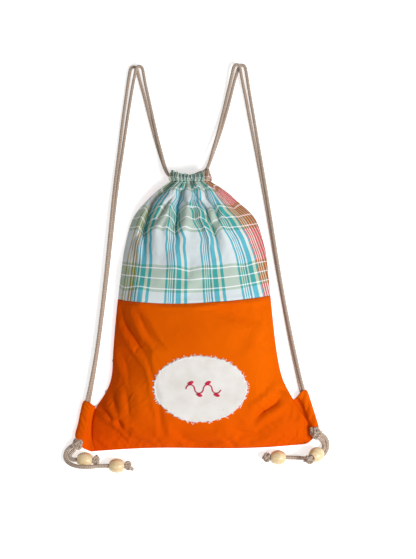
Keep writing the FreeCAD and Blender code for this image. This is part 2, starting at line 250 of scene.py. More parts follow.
# ---- materials ----
CLOTH_PITCH = 0.55  # millimetres between the threads of the plaid and the orange cloth
CALICO_PITCH = 0.75
WARP_REPEAT = 53.5
WARP_START = -97.0
LIGHT = srgb(230, 239, 241)
TURQUOISE = srgb(34, 183, 207)
DEEP_TURQUOISE = srgb(8, 156, 180)
CREAM = srgb(240, 238, 226)
GOLD = srgb(158, 124, 40)
KHAKI = srgb(190, 176, 130)
CORAL = srgb(218, 42, 32)
# Painted light: the pale tone laid over the crests of the gathered neck.
CREST_LIGHT = srgb(238, 243, 236)
# The weft's threads. The last value is how much of the cloth's colour they give.
GREEN_THREADS = srgb(96, 148, 74)[:3] + (0.42,)
WHITE_THREADS = srgb(255, 255, 255)[:3] + (0.53,)
PALE_THREADS = srgb(194, 206, 210)[:3] + (0.2,)
# One repeat of the warp: where each colour starts, in millimetres.
WARP = [
    (0.0, TURQUOISE), (3.0, CREAM), (4.6, TURQUOISE), (6.2, LIGHT), (7.6, TURQUOISE), (9.2, LIGHT),
    (10.8, DEEP_TURQUOISE), (13.2, LIGHT), (15.6, TURQUOISE), (22.6, CREAM), (27.0, TURQUOISE),
    (31.4, LIGHT),
]
# The left edge of the cloth, and its right edge.
WARP_LEFT = [
    (-130.0, LIGHT), (-105.0, KHAKI), (-102.6, LIGHT), (-100.4, KHAKI), (-99.0, LIGHT),
    (-96.0, GOLD), (-93.6, CREAM), (-92.0, GOLD), (-89.4, LIGHT),
]
LEFT_END = -89.0
WARP_RIGHT = [
    (92.6, CORAL), (94.4, CREAM), (95.6, CORAL), (97.6, CREAM), (98.8, CORAL), (100.6, CREAM),
    (102.0, CORAL), (105.0, CREAM), (105.7, CORAL), (109.2, CREAM), (109.9, CORAL), (113.4, CREAM),
    (114.2, CORAL), (117.6, CREAM), (118.2, CORAL), (123.0, CREAM), (123.8, CORAL), (128.0, CREAM),
    (128.8, CORAL), (132.0, CREAM), (132.8, CORAL), (142.0, LIGHT),
]
RIGHT_END = 144.0
# The weft: the middle of each green band, and what crosses it, from its middle outwards.
BAND_MIDDLES = [43.7, 128.4, 187.5]
BAND = [
    (-18.5, GREEN_THREADS), (-14.9, WHITE_THREADS), (-13.2, GREEN_THREADS), (-0.9, WHITE_THREADS),
    (0.9, GREEN_THREADS), (13.2, WHITE_THREADS), (14.9, GREEN_THREADS), (18.5, PALE_THREADS),
]
BAND_REACH = 20.0


def plaid_material():
    s = Shader("plaid_cloth")
    u, v, crest_light_share = s.parts("cloth")
    wobble = s.calc("MULTIPLY", s.calc("SUBTRACT", s.noise(60.0), 0.5), 0.6)
    across = s.calc("ADD", u, wobble)
    along = s.calc("ADD", v, wobble)

    repeat = s.calc("DIVIDE", s.calc("SUBTRACT", across, WARP_START), WARP_REPEAT)
    middle = s.ramp(s.calc("FRACT", repeat), [(place / WARP_REPEAT, colour) for place, colour in WARP])[0]

    def edge_strip(stops, end):
        start = stops[0][0]
        place = s.calc("DIVIDE", s.calc("SUBTRACT", across, start), end - start)
        return s.ramp(place, [((p - start) / (end - start), colour) for p, colour in stops])[0]

    warp = s.mix(s.calc("LESS_THAN", across, LEFT_END), middle, edge_strip(WARP_LEFT, LEFT_END))
    past_middle = s.calc("GREATER_THAN", across, WARP_RIGHT[0][0])
    warp = s.mix(past_middle, warp, edge_strip(WARP_RIGHT, RIGHT_END))

    nearest = BAND_MIDDLES[0]
    for below, above in zip(BAND_MIDDLES[:-1], BAND_MIDDLES[1:]):
        past = s.calc("GREATER_THAN", along, (below + above) / 2)
        nearest = s.calc("MULTIPLY_ADD", past, above - below, nearest)
    offset = s.calc("ADD", s.calc("SUBTRACT", along, nearest), BAND_REACH)
    stops = [(0.0, PALE_THREADS)]
    stops += [((BAND_REACH + place) / (2 * BAND_REACH), threads) for place, threads in BAND]
    weft, share = s.ramp(s.calc("DIVIDE", offset, 2 * BAND_REACH), stops)
    cloth = s.mix(share, warp, weft)
    # Painted light: the gathered neck is lightened along its folds' crests, less in their valleys.
    cloth = s.mix(crest_light_share, cloth, CREST_LIGHT)

    height = weave(s, u, v, CLOTH_PITCH)
    shade = s.calc("MULTIPLY_ADD", height, 0.05, 0.93)
    worn = s.calc("MULTIPLY_ADD", s.noise(25.0, 4.0), 0.10, 0.92)
    cloth = s.mix(1.0, cloth, s.calc("MULTIPLY", shade, worn), "MULTIPLY")
    return woven(s, cloth, height, s.noise(420.0, 2.0), 1.2, 0.00016, 0.6, (0.12, 0.76), specular=0.15)


def orange_material():
    s = Shader("orange_cloth")
    u, v = s.parts("cloth")[:2]
    height = weave(s, u, v, CLOTH_PITCH)
    colour = s.ramp(s.noise(14.0, 3.0), [(0.3, srgb(222, 90, 0)), (0.7, srgb(230, 99, 0))], "LINEAR")[0]
    # Painted shade: the colour darkens a little where the weave dips.
    colour = s.mix(1.0, colour, s.calc("MULTIPLY_ADD", height, 0.04, 0.96), "MULTIPLY")
    # Painted shade: the colour is made darker and redder toward the bottom and the left edge, where the
    # front turns away from the light.
    for coordinate, near, far in ((v, -190.0, -110.0), (u, -112.0, -50.0)):
        place = s.calc("DIVIDE", s.calc("SUBTRACT", coordinate, near), far - near)
        painted_shade = s.ramp(place, [(0.0, srgb(250, 222, 255)), (1.0, (1, 1, 1, 1))], "LINEAR")[0]
        colour = s.mix(1.0, colour, painted_shade, "MULTIPLY")
    return woven(s, colour, height, s.noise(380.0, 2.0), 1.2, 0.00016, 0.6, (0.12, 0.7), specular=0.02)


def calico_material():
    s = Shader("calico")
    u, v = s.parts("cloth")[:2]
    height = weave(s, u, v, CALICO_PITCH)
    tones = [(0.3, srgb(228, 223, 216)), (0.65, srgb(238, 234, 230))]
    colour = s.ramp(s.noise(55.0, 4.0), tones, "LINEAR")[0]
    fleck = s.ramp(s.noise(900.0, 1.0), [(0.72, (1, 1, 1, 1)), (0.78, srgb(176, 160, 130))], "LINEAR")[0]
    colour = s.mix(0.8, colour, fleck, "MULTIPLY")
    # Painted shade: the colour darkens a little where the weave dips.
    colour = s.mix(1.0, colour, s.calc("MULTIPLY_ADD", height, 0.05, 0.96), "MULTIPLY")
    slub = s.noise(330.0, 3.0)
    return woven(s, colour, height, slub, 1.4, 0.0002, 0.7, (0.1, 0.82), sheen=0.1, specular=0.15)


def thread_material(name, light, dark, shine):
    """Twisted sewing thread: fine slanted ridges with lighter and darker stitches."""
    s = Shader(name)
    place = s.node("ShaderNodeTexCoord")
    twist = s.node(
        "ShaderNodeTexWave", {"Vector": place.outputs["Object"], "Scale": 900.0, "Distortion": 1.5},
        bands_direction="DIAGONAL",
    )
    colour = s.ramp(s.noise(240.0, 2.0), [(0.35, dark), (0.6, light)], "LINEAR")[0]
    normal = s.bump(twist.outputs["Fac"], 0.0001, 0.6)
    rough = s.calc("MULTIPLY_ADD", twist.outputs["Fac"], 0.15, 0.75 - shine)
    return s.finish(colour, rough, normal, sheen=0.1, specular=0.35)


def cord_material():
    """Taupe braid: the threads cross in a diamond pattern that the mesh also has."""
    s = Shader("braided_cord")
    turn, along, lift = s.parts("braid")
    fuzz = s.noise(700.0, 3.0)
    ply = s.calc("SINE", s.calc("MULTIPLY", s.calc("MULTIPLY_ADD", turn, 34.0, along), 5.2))
    # Painted shade and light: the colour is darker in the braid's dips and between its plies and lighter on
    # its raised lobes; the fuzz adds random tone.
    height = s.calc("ADD", lift, s.calc("MULTIPLY", ply, 0.10))
    braid_shade_and_fuzz = s.calc("MULTIPLY_ADD", s.calc("SUBTRACT", fuzz, 0.5), 0.35, height)
    tones = [(100, 80, 64), (162, 139, 121), (198, 176, 158), (226, 210, 196)]
    colour = s.ramp(braid_shade_and_fuzz, [(0.05 + 0.3 * k, srgb(*tones[k])) for k in range(4)], "LINEAR")[0]
    normal = s.bump(s.calc("ADD", ply, fuzz), 0.00012, 0.6)
    rough = s.calc("MULTIPLY_ADD", fuzz, 0.2, 0.62)
    return s.finish(colour, rough, normal, sheen=0.2, specular=0.3)


def wood_material():
    """Pale turned wood under a thin varnish, with faint grain rings."""
    s = Shader("bead_wood")
    place = s.node("ShaderNodeTexCoord")
    grain = s.node(
        "ShaderNodeTexWave",
        {
            "Vector": place.outputs["Object"], "Scale": 60.0, "Distortion": 9.0,
            "Detail": 3.0, "Detail Scale": 2.0,
        },
        wave_type="RINGS",
    )
    tones = [(226, 199, 152), (232, 208, 164), (236, 214, 172)]
    colour = s.ramp(grain.outputs["Fac"], [(0.5 * k, srgb(*tones[k])) for k in range(3)], "LINEAR")[0]
    blotch = s.ramp(s.noise(130.0, 3.0), [(0.35, srgb(240, 224, 194)), (0.6, (1, 1, 1, 1))], "LINEAR")[0]
    colour = s.mix(0.5, colour, blotch, "MULTIPLY")
    pore = s.noise(1500.0, 2.0)
    normal = s.bump(s.calc("ADD", grain.outputs["Fac"], pore), 0.00006, 0.5)
    rough = s.calc("MULTIPLY_ADD", pore, 0.1, 0.34)
    s.surface.inputs["Coat Weight"].default_value = 0.35
    s.surface.inputs["Coat Roughness"].default_value = 0.25
    return s.finish(colour, rough, normal, specular=0.45)


PLAID = plaid_material()
ORANGE = orange_material()
CALICO = calico_material()
EDGE_THREAD = thread_material("edge_thread", srgb(250, 250, 250), srgb(226, 226, 224), 0.05)
RED_THREAD = thread_material("red_thread", srgb(214, 22, 66), srgb(170, 8, 44), 0.25)
ORANGE_THREAD = thread_material("orange_thread", srgb(244, 92, 6), srgb(206, 62, 0), 0.15)
PALE_THREAD = thread_material("pale_thread", srgb(226, 232, 226), srgb(186, 200, 190), 0.1)
CORD_BRAID = cord_material()
WOOD = wood_material()

# ---- cords ----
CORD_D = 4.5
TAIL_D = 5.8  # past the knot nothing pulls on the braid, and it opens
BRAID_AROUND = 4  # pairs of lobes round the cord
BRAID_PITCH = 4.4  # length of one diamond along the cord
BRAID_RISE = 0.26
CORD_STEP = 0.62
CORD_SIDES = 20

# The routes of the CAD cords, in millimetres.
STRAPS = {
    "left_strap_front": [
        (-22, 185.6, 21), (-31, 185.8, 20.0), (-40.3, 188.0, 14.5), (-44.6, 197.5, 10.8),
        (-49, 215, 8.0), (-56, 241, 4.8), (-62.6, 271, 2.9), (-68.6, 298, 3.6), (-72.5, 316, 5.6),
        (-74.9, 329, 7.0), (-77.0, 341, 7.2), (-84.8, 341.2, 7.2), (-87.2, 330.5, 7.0),
        (-90.0, 316, 5.6), (-93.5, 296, 3.5), (-98.3, 266, 2.3), (-104.4, 224, 2.3), (-112.1, 172, 2.3),
        (-118.3, 119.5, 2.3), (-124.3, 64, 2.3), (-131.0, 8, 2.3), (-138.1, -47, 2.3),
        (-144.9, -91, 2.3), (-149.5, -117, 2.6), (-153.6, -140, 3.9), (-158.9, -165, 3.9),
        (-164.4, -184.5, 4.7),
    ],
    "left_strap_back": [
        (-22, 185.6, 4), (-31, 185.8, 3.8), (-40.6, 188.6, 3.3), (-46, 198.5, 2.6), (-51.6, 215, 2.4),
        (-59.4, 241, 2.3), (-67.3, 271, 2.3), (-73.9, 298, 2.3), (-79, 316, 2.3), (-82.6, 329.5, 2.3),
        (-85.3, 341, 2.3), (-93, 340.8, 2.3), (-95.4, 330, 2.3), (-97.7, 314, 2.3), (-100.6, 293, 2.3),
        (-104.9, 263, 2.3), (-109.6, 222, 2.6), (-116.2, 171, 4.4), (-121.3, 118.5, 5.7),
        (-126.7, 63, 6.1), (-132.8, 7, 6.4), (-139.5, -48, 6.5), (-147.2, -92, 6.1), (-152.6, -118, 5.8),
        (-158.8, -141, 4.4), (-164.1, -166, 3.9), (-168.8, -182.8, 4.7),
    ],
    "right_strap_front": [
        (3, 191.8, 21), (8.5, 192.4, 20.4), (13.6, 197.5, 18.6), (17, 206.5, 13.5), (21.6, 223.5, 9.5),
        (28.6, 247.5, 6.2), (36, 276.5, 3.6), (41.6, 301, 3.7), (45.5, 317, 5.6), (48.3, 330, 7.0),
        (51.3, 343.4, 7.2), (59, 343.3, 7.2), (60.7, 332, 7.0), (63.5, 317.5, 5.6), (67.4, 299, 3.6),
        (72.8, 269, 2.3), (80.8, 229, 2.3), (90.4, 178, 2.3), (99.7, 126, 2.3), (108.7, 71, 2.3),
        (119, 15, 2.3), (128.5, -38, 2.3), (137.8, -82, 2.3), (142.8, -104.5, 2.7), (147, -122, 3.9),
        (152.9, -141, 3.9), (159.0, -160, 3.9), (163.2, -169.6, 4.7),
    ],
    "right_strap_back": [
        (3, 191.8, 4), (8.5, 192.4, 4.3), (13.9, 197.6, 5.4), (17.4, 207, 4.4), (23.6, 224, 2.9),
        (32, 248, 2.3), (40.9, 277, 2.3), (47, 301.5, 2.3), (50.8, 317, 2.3), (54.2, 329.5, 2.3),
        (58.8, 343, 2.3), (66.6, 343.2, 2.3), (68.7, 331.5, 2.3), (70.9, 317, 2.3), (74.1, 297, 2.3),
        (79.1, 268.5, 2.3), (85.7, 228.5, 2.6), (94.4, 178, 4.4), (102.8, 126.5, 5.6),
        (111.4, 71.5, 5.9), (120.7, 16, 6.5), (131.4, -37, 5.8), (140.9, -81, 5.7), (146.2, -103.5, 5.6),
        (151.9, -121, 4.4), (157.8, -140, 3.9), (163.9, -159, 3.9), (168.2, -168.8, 4.7),
    ],
}
TAILS = {
    "left_short": [
        (-171.5, -194, 7), (-177.0, -198.4, 6), (-179.1, -204.4, 6.6), (-174, -208.6, 8.8),
        (-166, -207, 10.2), (-154.5, -207.8, 10.3), (-142.8, -208.9, 10.3),
    ],
    "left_long": [
        (-174.5, -188.5, 6.5), (-181, -193, 4.2), (-184.8, -200.2, 3.2), (-184.4, -207.8, 5.4),
        (-178.8, -213.2, 10.2), (-169.8, -216.1, 16.4), (-159.0, -217.3, 20.7), (-149.0, -217.4, 19.4),
        (-140.5, -216.6, 11.4), (-117.5, -216.1, 10.3), (-98.0, -216.1, 10.3),
    ],
    "right_short": [
        (168.5, -175.8, 6.5), (173.6, -180.4, 4.6), (176.8, -186, 3.8), (177.2, -191.4, 5.4),
        (174, -195.6, 8.3), (165.3, -200.4, 16.6), (156.0, -205.6, 25.7),
    ],
    "right_long": [
        (171.5, -171.5, 7), (177.8, -175.6, 5), (181.8, -182.5, 3), (182.2, -191, 2.4),
        (178.7, -199.6, 2.3), (171, -206, 2.3), (161, -208, 2.6), (150.5, -206.6, 5.2),
        (141.5, -205.3, 9.2), (127, -204.8, 10.25), (112.5, -204.55, 10.35), (98.3, -204.6, 10.3),
    ],
}


def spline_line(route):
    """Places along the smooth line whose control points are the route's, in millimetres."""
    curve = bpy.data.curves.new("route", "CURVE")
    curve.dimensions = "3D"
    curve.resolution_u = 24
    spline = curve.splines.new("NURBS")
    spline.points.add(len(route) - 1)
    for point, place in zip(spline.points, route):
        point.co = (place[0] * MM, place[1] * MM, place[2] * MM, 1)
    spline.order_u = 3
    spline.use_endpoint_u = True
    holder = bpy.data.objects.new("route", curve)
    mesh = bpy.data.meshes.new_from_object(holder)
    line = np.array([v.co for v in mesh.vertices]) / MM
    bpy.data.objects.remove(holder)
    bpy.data.meshes.remove(mesh)
    bpy.data.curves.remove(curve)
    return line


def evenly(line, step):
    """The same line with its places step apart."""
    legs = np.linalg.norm(np.diff(line, axis=0), axis=1)
    run = np.concatenate([[0], np.cumsum(legs)])
    count = max(8, int(round(run[-1] / step)) + 1)
    places = np.linspace(0, run[-1], count)
    return np.stack([np.interp(places, run, line[:, k]) for k in range(3)], axis=1), places


def frames_along(line):
    """Two directions across a line at each place, with as little twist as can be."""
    tangent = np.gradient(line, axis=0)
    tangent /= np.linalg.norm(tangent, axis=1)[:, None]
    side = np.cross(tangent[0], (0, 0, 1.0))
    if np.linalg.norm(side) < 0.1:
        side = np.cross(tangent[0], (1.0, 0, 0))
    sides = []
    for direction in tangent:
        side = side - direction * (side @ direction)
        side = side / np.linalg.norm(side)
        sides.append(side)
    sides = np.array(sides)
    return sides, np.cross(tangent, sides)


def braided_tube(name, lines, diameter, narrow=None):
    """One mesh of braided tubes along lines. narrow gives the radius's share along each line, 0 to 1."""
    points = []
    faces = []
    coordinates = []
    for line in lines:
        line, run = evenly(line, CORD_STEP)
        side, up = frames_along(line)
        angle = np.linspace(0, 2 * math.pi, CORD_SIDES, endpoint=False)
        one_way = BRAID_AROUND * angle + 2 * math.pi * run[:, None] / BRAID_PITCH
        other_way = BRAID_AROUND * angle - 2 * math.pi * run[:, None] / BRAID_PITCH
        lift = 0.5 + 0.5 * np.sin(one_way) * np.sin(other_way)
        radius = diameter / 2 - BRAID_RISE + 1.4 * BRAID_RISE * lift
        if narrow is not None:
            radius = radius * narrow(run / run[-1])[:, None]
        ring = np.cos(angle)[:, None] * side[:, None, :] + np.sin(angle)[:, None] * up[:, None, :]
        places = line[:, None, :] + ring * radius[:, :, None]
        faces += tube_faces(len(line), CORD_SIDES, len(points))
        points += places.reshape(-1, 3).tolist()
        braid = np.stack(np.broadcast_arrays(angle / (2 * math.pi), run[:, None], lift), axis=2)
        coordinates += braid.reshape(-1, 3).tolist()
    tube = make_object(name, points, faces)
    add_coordinates(tube, "braid", coordinates)
    return tube


for name, route in STRAPS.items():
    line = spline_line(route)
    strap = finish_piece(braided_tube(name, [line], CORD_D), CORD_BRAID, f"{name}_strand")

# ---- knots ----
KNOT_SAMPLES = 90
KNOT_D = 4.3  # the cord in a strap's knot, pulled tight
END_KNOT_D = 4.6


def looped_line(centre, axis, up, ring_r, tube_r, flat, lead, tail, tail_way):
    """An overhand knot: a line that goes twice round and through itself, with its two ends led out."""
    axis = np.array(axis, float) / np.linalg.norm(axis)
    up = np.array(up, float) - axis * (np.array(up, float) @ axis)
    up /= np.linalg.norm(up)
    across = np.cross(up, axis)
    turn = np.linspace(0.10, 0.90, KNOT_SAMPLES) * 4 * math.pi + math.pi
    out = ring_r + tube_r * np.cos(1.5 * (turn - math.pi))
    rise = flat * tube_r * np.sin(1.5 * (turn - math.pi))
    loop = np.stack([out * np.cos(turn), out * np.sin(turn), rise], axis=1)
    way_in = np.array(lead, float)
    way_out = loop[-1] + np.array(tail_way, float) / np.linalg.norm(tail_way) * tail
    lead_in = through([way_in, (way_in + loop[0]) / 2, loop[0]], 12)[:-1]
    local = np.concatenate([lead_in, loop, [(loop[-1] + way_out) / 2, way_out]])
    basis = np.stack([axis, across, up])
    return np.array(centre, float) + local @ basis


BEADS = {
    "left_short": ((-157.1, -207.6, 10.3), (0.996, -0.087, 0.0)),
    "left_long": ((-112.4, -216.05, 10.3), (1.0, 0.0, 0.0)),
    "right_short": ((165.6, -200.2, 16.4), (-0.667, -0.375, 0.643)),
    "right_long": ((112.7, -204.6, 10.3), (-1.0, 0.0, 0.0)),
}
KNOT_GAP = 14.6
# Each end knot's cut end: which way it points (along the bead's axis, across it and up) and its length.
STUBS = {
    "left_short": ((0.6, 0.8, 0.2), 5.5),
    "left_long": ((0.7, -0.7, -0.1), 12.5),
    "right_short": ((0.5, -0.55, -0.65), 9.0),
    "right_long": ((1.0, -0.25, 0.1), 8.5),
}


def cut_end(share):
    """A knot's cord gets thinner where it is pulled tight, and frays out a little at the cut."""
    return 1 - 0.12 * np.sin(math.pi * np.clip(share, 0, 1)) + 0.1 * ease(share, 0.93, 1.0)


for name, route in TAILS.items():
    middle, axis = BEADS[name]
    centre = np.array(middle) + np.array(axis) / np.linalg.norm(axis) * KNOT_GAP
    stub_way, stub_length = STUBS[name]
    knot_line = looped_line(centre, axis, (0, 0, 1), 3.2, 2.1, 1.2, (-7.5, 0, 0), stub_length, stub_way)
    end_knot = braided_tube(f"{name}_end", [knot_line], END_KNOT_D, cut_end)
    finish_piece(end_knot, CORD_BRAID, f"{name}_end_knot")

KNOT_SPREAD = 2.7  # how far apart the two strands' turns lie along a strap's knot

for side, centre, axis, scale in (
    ("left", (-167.0, -184.8, 8.4), (-0.3, -0.95, 0), 1.0),
    ("right", (164.8, -169.6, 10.4), (0.6, -0.8, 0), 1.05),
):
    lines = []
    for shift in (-1, 1):
        place = np.array(centre) + (np.array(axis) * KNOT_SPREAD * scale + np.array((0, 0, 1.3))) * shift
        up = (0.2 * shift, 0, 1)
        tail_way = (1, 0.3 * shift, 0)
        ring = (3.7 * scale, 2.1 * scale)
        lines.append(looped_line(place, axis, up, *ring, 0.8, (-6, shift, 0), 3.0, tail_way))
    finish_piece(braided_tube(f"{side}_knot_tied", lines, KNOT_D), CORD_BRAID, f"{side}_knot")

# ---- beads ----
BEAD_HALF = 10.5
BEAD_R = 10.3
BEAD_LIMIT = 12.6  # where the barrel would close if it had no bore
BORE_R = 4.5
BEAD_SIDES = 64


def bead_profile():
    """The bead's half section: from the bore out over the rounded rim and the barrel, and back."""
    t = np.linspace(-1, 1, 33)
    height = BEAD_HALF * np.sin(t * math.pi / 2)
    barrel = np.stack([BEAD_R * (1 - (np.abs(height) / BEAD_LIMIT) ** 1.8) ** 0.5, height], axis=1)
    low_rim = [(BORE_R + out, up - BEAD_HALF) for out, up in ((0, 1.8), (0.1, 0.8), (0.6, 0.15))]
    high_rim = [(r, -h) for r, h in reversed(low_rim)]
    bore = [(BORE_R, h) for h in (6.0, 2.0, -2.0, -6.0)]
    return np.array(low_rim + barrel.tolist() + high_rim + bore)


profile = bead_profile()
bead_angle = np.linspace(0, 2 * math.pi, BEAD_SIDES, endpoint=False)
bead_x = profile[:, :1] * np.cos(bead_angle)
bead_y = profile[:, :1] * np.sin(bead_angle)
bead_rings = np.stack([bead_x, bead_y, np.repeat(profile[:, 1:], BEAD_SIDES, 1)], axis=2).reshape(-1, 3)
# The last ring joins the first.
bead_grid = grid_faces(len(profile) + 1, BEAD_SIDES, closed=True)
bead_faces = [tuple(k % len(bead_rings) for k in face) for face in bead_grid]
for name, (middle, axis) in BEADS.items():
    turn = Vector((0, 0, 1)).rotation_difference(Vector(axis)).to_matrix()
    bead = make_object(f"{name}_bead_turned", bead_rings @ np.array(turn).T + np.array(middle), bead_faces)
    finish_piece(bead, WOOD, f"{name}_bead", f"{name}_bead_body")

for name, route in TAILS.items():
    line = spline_line(route)
    tail = braided_tube(f"{name}_tail_cord", [line], TAIL_D)
    finish_piece(tail, CORD_BRAID, f"{name}_tail")

# ---- the sack's shape ----
# Each row: left point, right point, bow of the middle and rise of the front, close to the CAD's.
ROWS = [
    (-146.0, -197.0, 150.0, -187.0, -0.4, 0.0),
    (-148.0, -181.0, 155.0, -174.0, 0.0, 13.0),
    (-147.5, -157.0, 154.0, -154.0, 0.0, 23.0),
    (-142.5, -137.0, 141.5, -135.5, 0.0, 28.0),
    (-127.5, -113.0, 127.8, -113.0, 0.0, 31.0),
    (-120.0, -91.0, 117.6, -90.0, -2.0, 33.0),
    (-118.0, -58.0, 110.8, -56.0, -4.0, 34.0),
    (-115.0, -20.0, 106.2, -18.0, -6.0, 35.0),
    (-111.3, 16.2, 102.2, 21.4, -8.6, 35.0),
    (-106.8, 53.0, 99.0, 55.0, -8.0, 35.0),
    (-102.0, 88.0, 94.5, 88.0, -6.0, 34.0),
    (-91.5, 126.0, 81.0, 128.0, -4.0, 32.0),
    (-75.0, 149.0, 58.0, 151.0, -2.0, 29.0),
    (-56.0, 167.0, 38.0, 168.0, 0.0, 26.0),
    (-38.0, 179.8, 19.0, 179.8, 0.0, 22.0),
]
BOTTOM_SWAY = 2.3  # how far the bottom edge wanders to each side of a straight line
SEAM_ROW = 8
LAST_ROW = len(ROWS) - 1
COLUMNS = 211
LOWER_ROWS = 131
UPPER_ROWS = 111
NECK_MIDDLE = 12.5  # height of the neck's middle above the floor
NECK_ROUND = 2.4  # how square the neck's ring is: 2 is an ellipse
SIDE_SEAM = 3.4  # height of the side seams along the sack
EDGE_LIP = 1.6  # how far the front's cloth turns down at the side seams
FULL_LEFT = 0.6  # how much of the left side is filled out to its edge
CLOTH = 1.0
# Where the cloth's own left and right edges come to lie, from the seam to the neck.
WARP_AT_SEAM = (-110.3, 101.4)
WARP_AT_NECK = (-119.0, 135.0)
PLEAT = 23.3  # flat cloth in one pleat of the neck
# Where the pleats begin, as a turn of their wave.
FRONT_PLEATS = 0.4
BACK_PLEATS = 2.1

# ---- folds ----
# The points each valley runs through, its depth, its half width, how much wider its left side is,
# and how much of the depth it has at its start and at its end.
FOLDS = [
    ([
        (-16.2, 178), (-20.0, 164.4), (-23.1, 152.2), (-25.3, 137.1), (-26.1, 124.9), (-29.1, 109.7),
        (-28.1, 85.5),
    ], 8.5, 5.0, 1.3, 0.6, 0.0),
    ([
        (-23.8, 176), (-29.9, 159.8), (-36, 149.2), (-45.1, 134), (-54.2, 118.8), (-60.2, 106.7),
    ], 4.0, 4.0, 0.7, 0.6, 0.0),
    ([
        (-36.0, 177), (-45.1, 166.7), (-54.2, 158.3), (-60.2, 149.2), (-64, 138.6), (-67.8, 124.9),
        (-70.9, 112.8), (-71.6, 97.6), (-73.9, 74.8), (-79.2, 56),
    ], 8.5, 5.5, 1.5, 0.6, 0.0),
    ([
        (-7.1, 178), (-1.0, 159.8), (6.5, 152.2), (12.6, 143.1), (15.7, 132.5), (21.7, 118.8),
        (25.5, 106.7), (28.6, 94.6), (31.6, 79.4), (33.9, 64),
    ], 8.0, 5.0, 1.2, 0.5, 0.0),
    ([
        (6.1, 178), (15.7, 159.8), (23.2, 149.2), (29.3, 138.6), (32.4, 123.4), (39.9, 112.8),
    ], 6.0, 4.2, 0.8, 0.7, 0.0),
    ([(14.4, 177), (30.8, 161.3), (43, 152.2), (53.6, 140.1), (60, 124)], 4.0, 4.5, 1.2, 0.7, 0.0),
    ([(-75.4, 118.8), (-81.5, 106.7), (-88.3, 91.5), (-90.6, 72)], 3.0, 5.0, 1.2, 0.0, 0.0),
    ([(60, 100), (66, 70), (70, 40)], 1.6, 9.0, 1.0, 0.0, 0.0),
    ([(-12, 84), (-10, 58), (-14, 34)], 2.0, 10.0, 1.0, 0.0, 0.0),
    ([(-104, -2), (-98.5, -20), (-85, -40), (-74.5, -55.5), (-66, -70)], 5.0, 5.5, 1.3, 0.3, 0.0),
    ([(-107, 26), (-106, 4), (-102, -14)], 5.0, 8.0, 1.7, 0.9, 0.3),
    ([(-84, 6), (-66, -33), (-54, -56)], 1.4, 5.0, 1.2, 0.0, 0.0),
    ([(-112, -50), (-104, -64), (-98, -80), (-96, -96)], 2.6, 6.0, 1.5, 0.2, 0.0),
    ([
        (-69.8, -60.4), (-63.1, -82.8), (-55.3, -116.2), (-49.7, -149.7), (-47.5, -180),
    ], 1.4, 3.5, 1.0, 0.0, 0.0),
    ([(-118.3, -112), (-113.4, -129.3), (-108.5, -142)], 3.5, 5.5, 1.0, 0.2, 0.0),
    ([
        (-139.9, -134.2), (-130.1, -138.1), (-124.2, -142.1), (-119.3, -149.9), (-117.8, -158),
    ], 4.5, 4.0, 0.8, 0.9, 0.0),
    ([(-109.5, -148), (-107.5, -156.8), (-106.0, -168)], 3.0, 4.0, 1.0, 0.0, 0.0),
    ([(-98.5, -100), (-94.5, -130), (-92, -160)], 2.4, 6.0, 1.2, 0.0, 0.0),
    ([(-144.8, -181.3), (-136, -187.2), (-126.1, -192.1)], 2.0, 2.6, 1.0, 0.8, 0.0),
    ([
        (122.2, -112.5), (112.4, -124), (107.4, -130.3), (94.7, -138.1), (82.9, -146), (66, -155),
    ], 5.0, 7.5, 0.7, 0.3, 0.0),
    ([(131, -113), (119.3, -110.7), (108.3, -108.7)], 3.0, 4.5, 1.0, 0.5, 0.0),
    ([(141, -128), (139, -142), (137, -158)], 2.2, 3.2, 1.0, 0.3, 0.0),
    ([(133.5, -124), (130, -137), (130.5, -153)], 2.0, 3.4, 1.0, 0.4, 0.0),
    ([(149, -140), (148.7, -160), (147.6, -182)], 2.4, 3.0, 1.0, 0.5, 0.3),
    ([(40, -160), (70, -170), (110, -172)], 1.6, 7.0, 1.0, 0.0, 0.0),
    ([(-30, -178), (0, -184), (40, -182)], 1.2, 5.0, 1.0, 0.0, 0.0),
    ([(20, 4), (60, -6), (92, -28)], 1.2, 9.0, 1.0, 0.0, 0.0),
]
FOLD_DEPTH = 1.45  # all folds, against the depths above
OVERHANG = 0.55  # how far a fold's right bank leans over it, against its depth
PATCH_X = 3.8
PATCH_Y = -107.6
PATCH_HALF_W = 64.2
PATCH_HALF_H = 45.8


def off_patch(x, y):
    """1 away from the patch and near 0 under it: the patch keeps the cloth below it flat."""
    across_oval = (x - PATCH_X) / PATCH_HALF_W
    up_oval = (y - PATCH_Y) / PATCH_HALF_H
    return 1 - 0.9 * np.exp(-((across_oval**2 + up_oval**2) ** 2) / 1.6)


def along_line(x, y, points):
    """Each place's signed distance to the line through points, how far along it is, and the way to it."""
    line = through(points, 6 * len(points))
    start = line[:-1]
    leg = np.diff(line, axis=0)
    length = np.linalg.norm(leg, axis=1)
    run = np.concatenate([[0], np.cumsum(length)])
    best = np.full(x.shape, 1e9)
    share = np.zeros(x.shape)
    toward = np.zeros((2,) + x.shape)
    for (sx, sy), (lx, ly), long, before in zip(start, leg, length, run):
        t = np.clip(((x - sx) * lx + (y - sy) * ly) / long**2, 0, 1)
        gap_x = x - sx - t * lx
        gap_y = y - sy - t * ly
        gap = np.hypot(gap_x, gap_y)
        nearer = gap < np.abs(best)
        side = np.where(lx * gap_y - ly * gap_x > 0, 1.0, -1.0)
        best = np.where(nearer, gap * side, best)
        share = np.where(nearer, (before + t * long) / run[-1], share)
        toward = np.where(nearer, -np.stack([gap_x, gap_y]) / np.maximum(gap, 0.01), toward)
    return best, share, toward


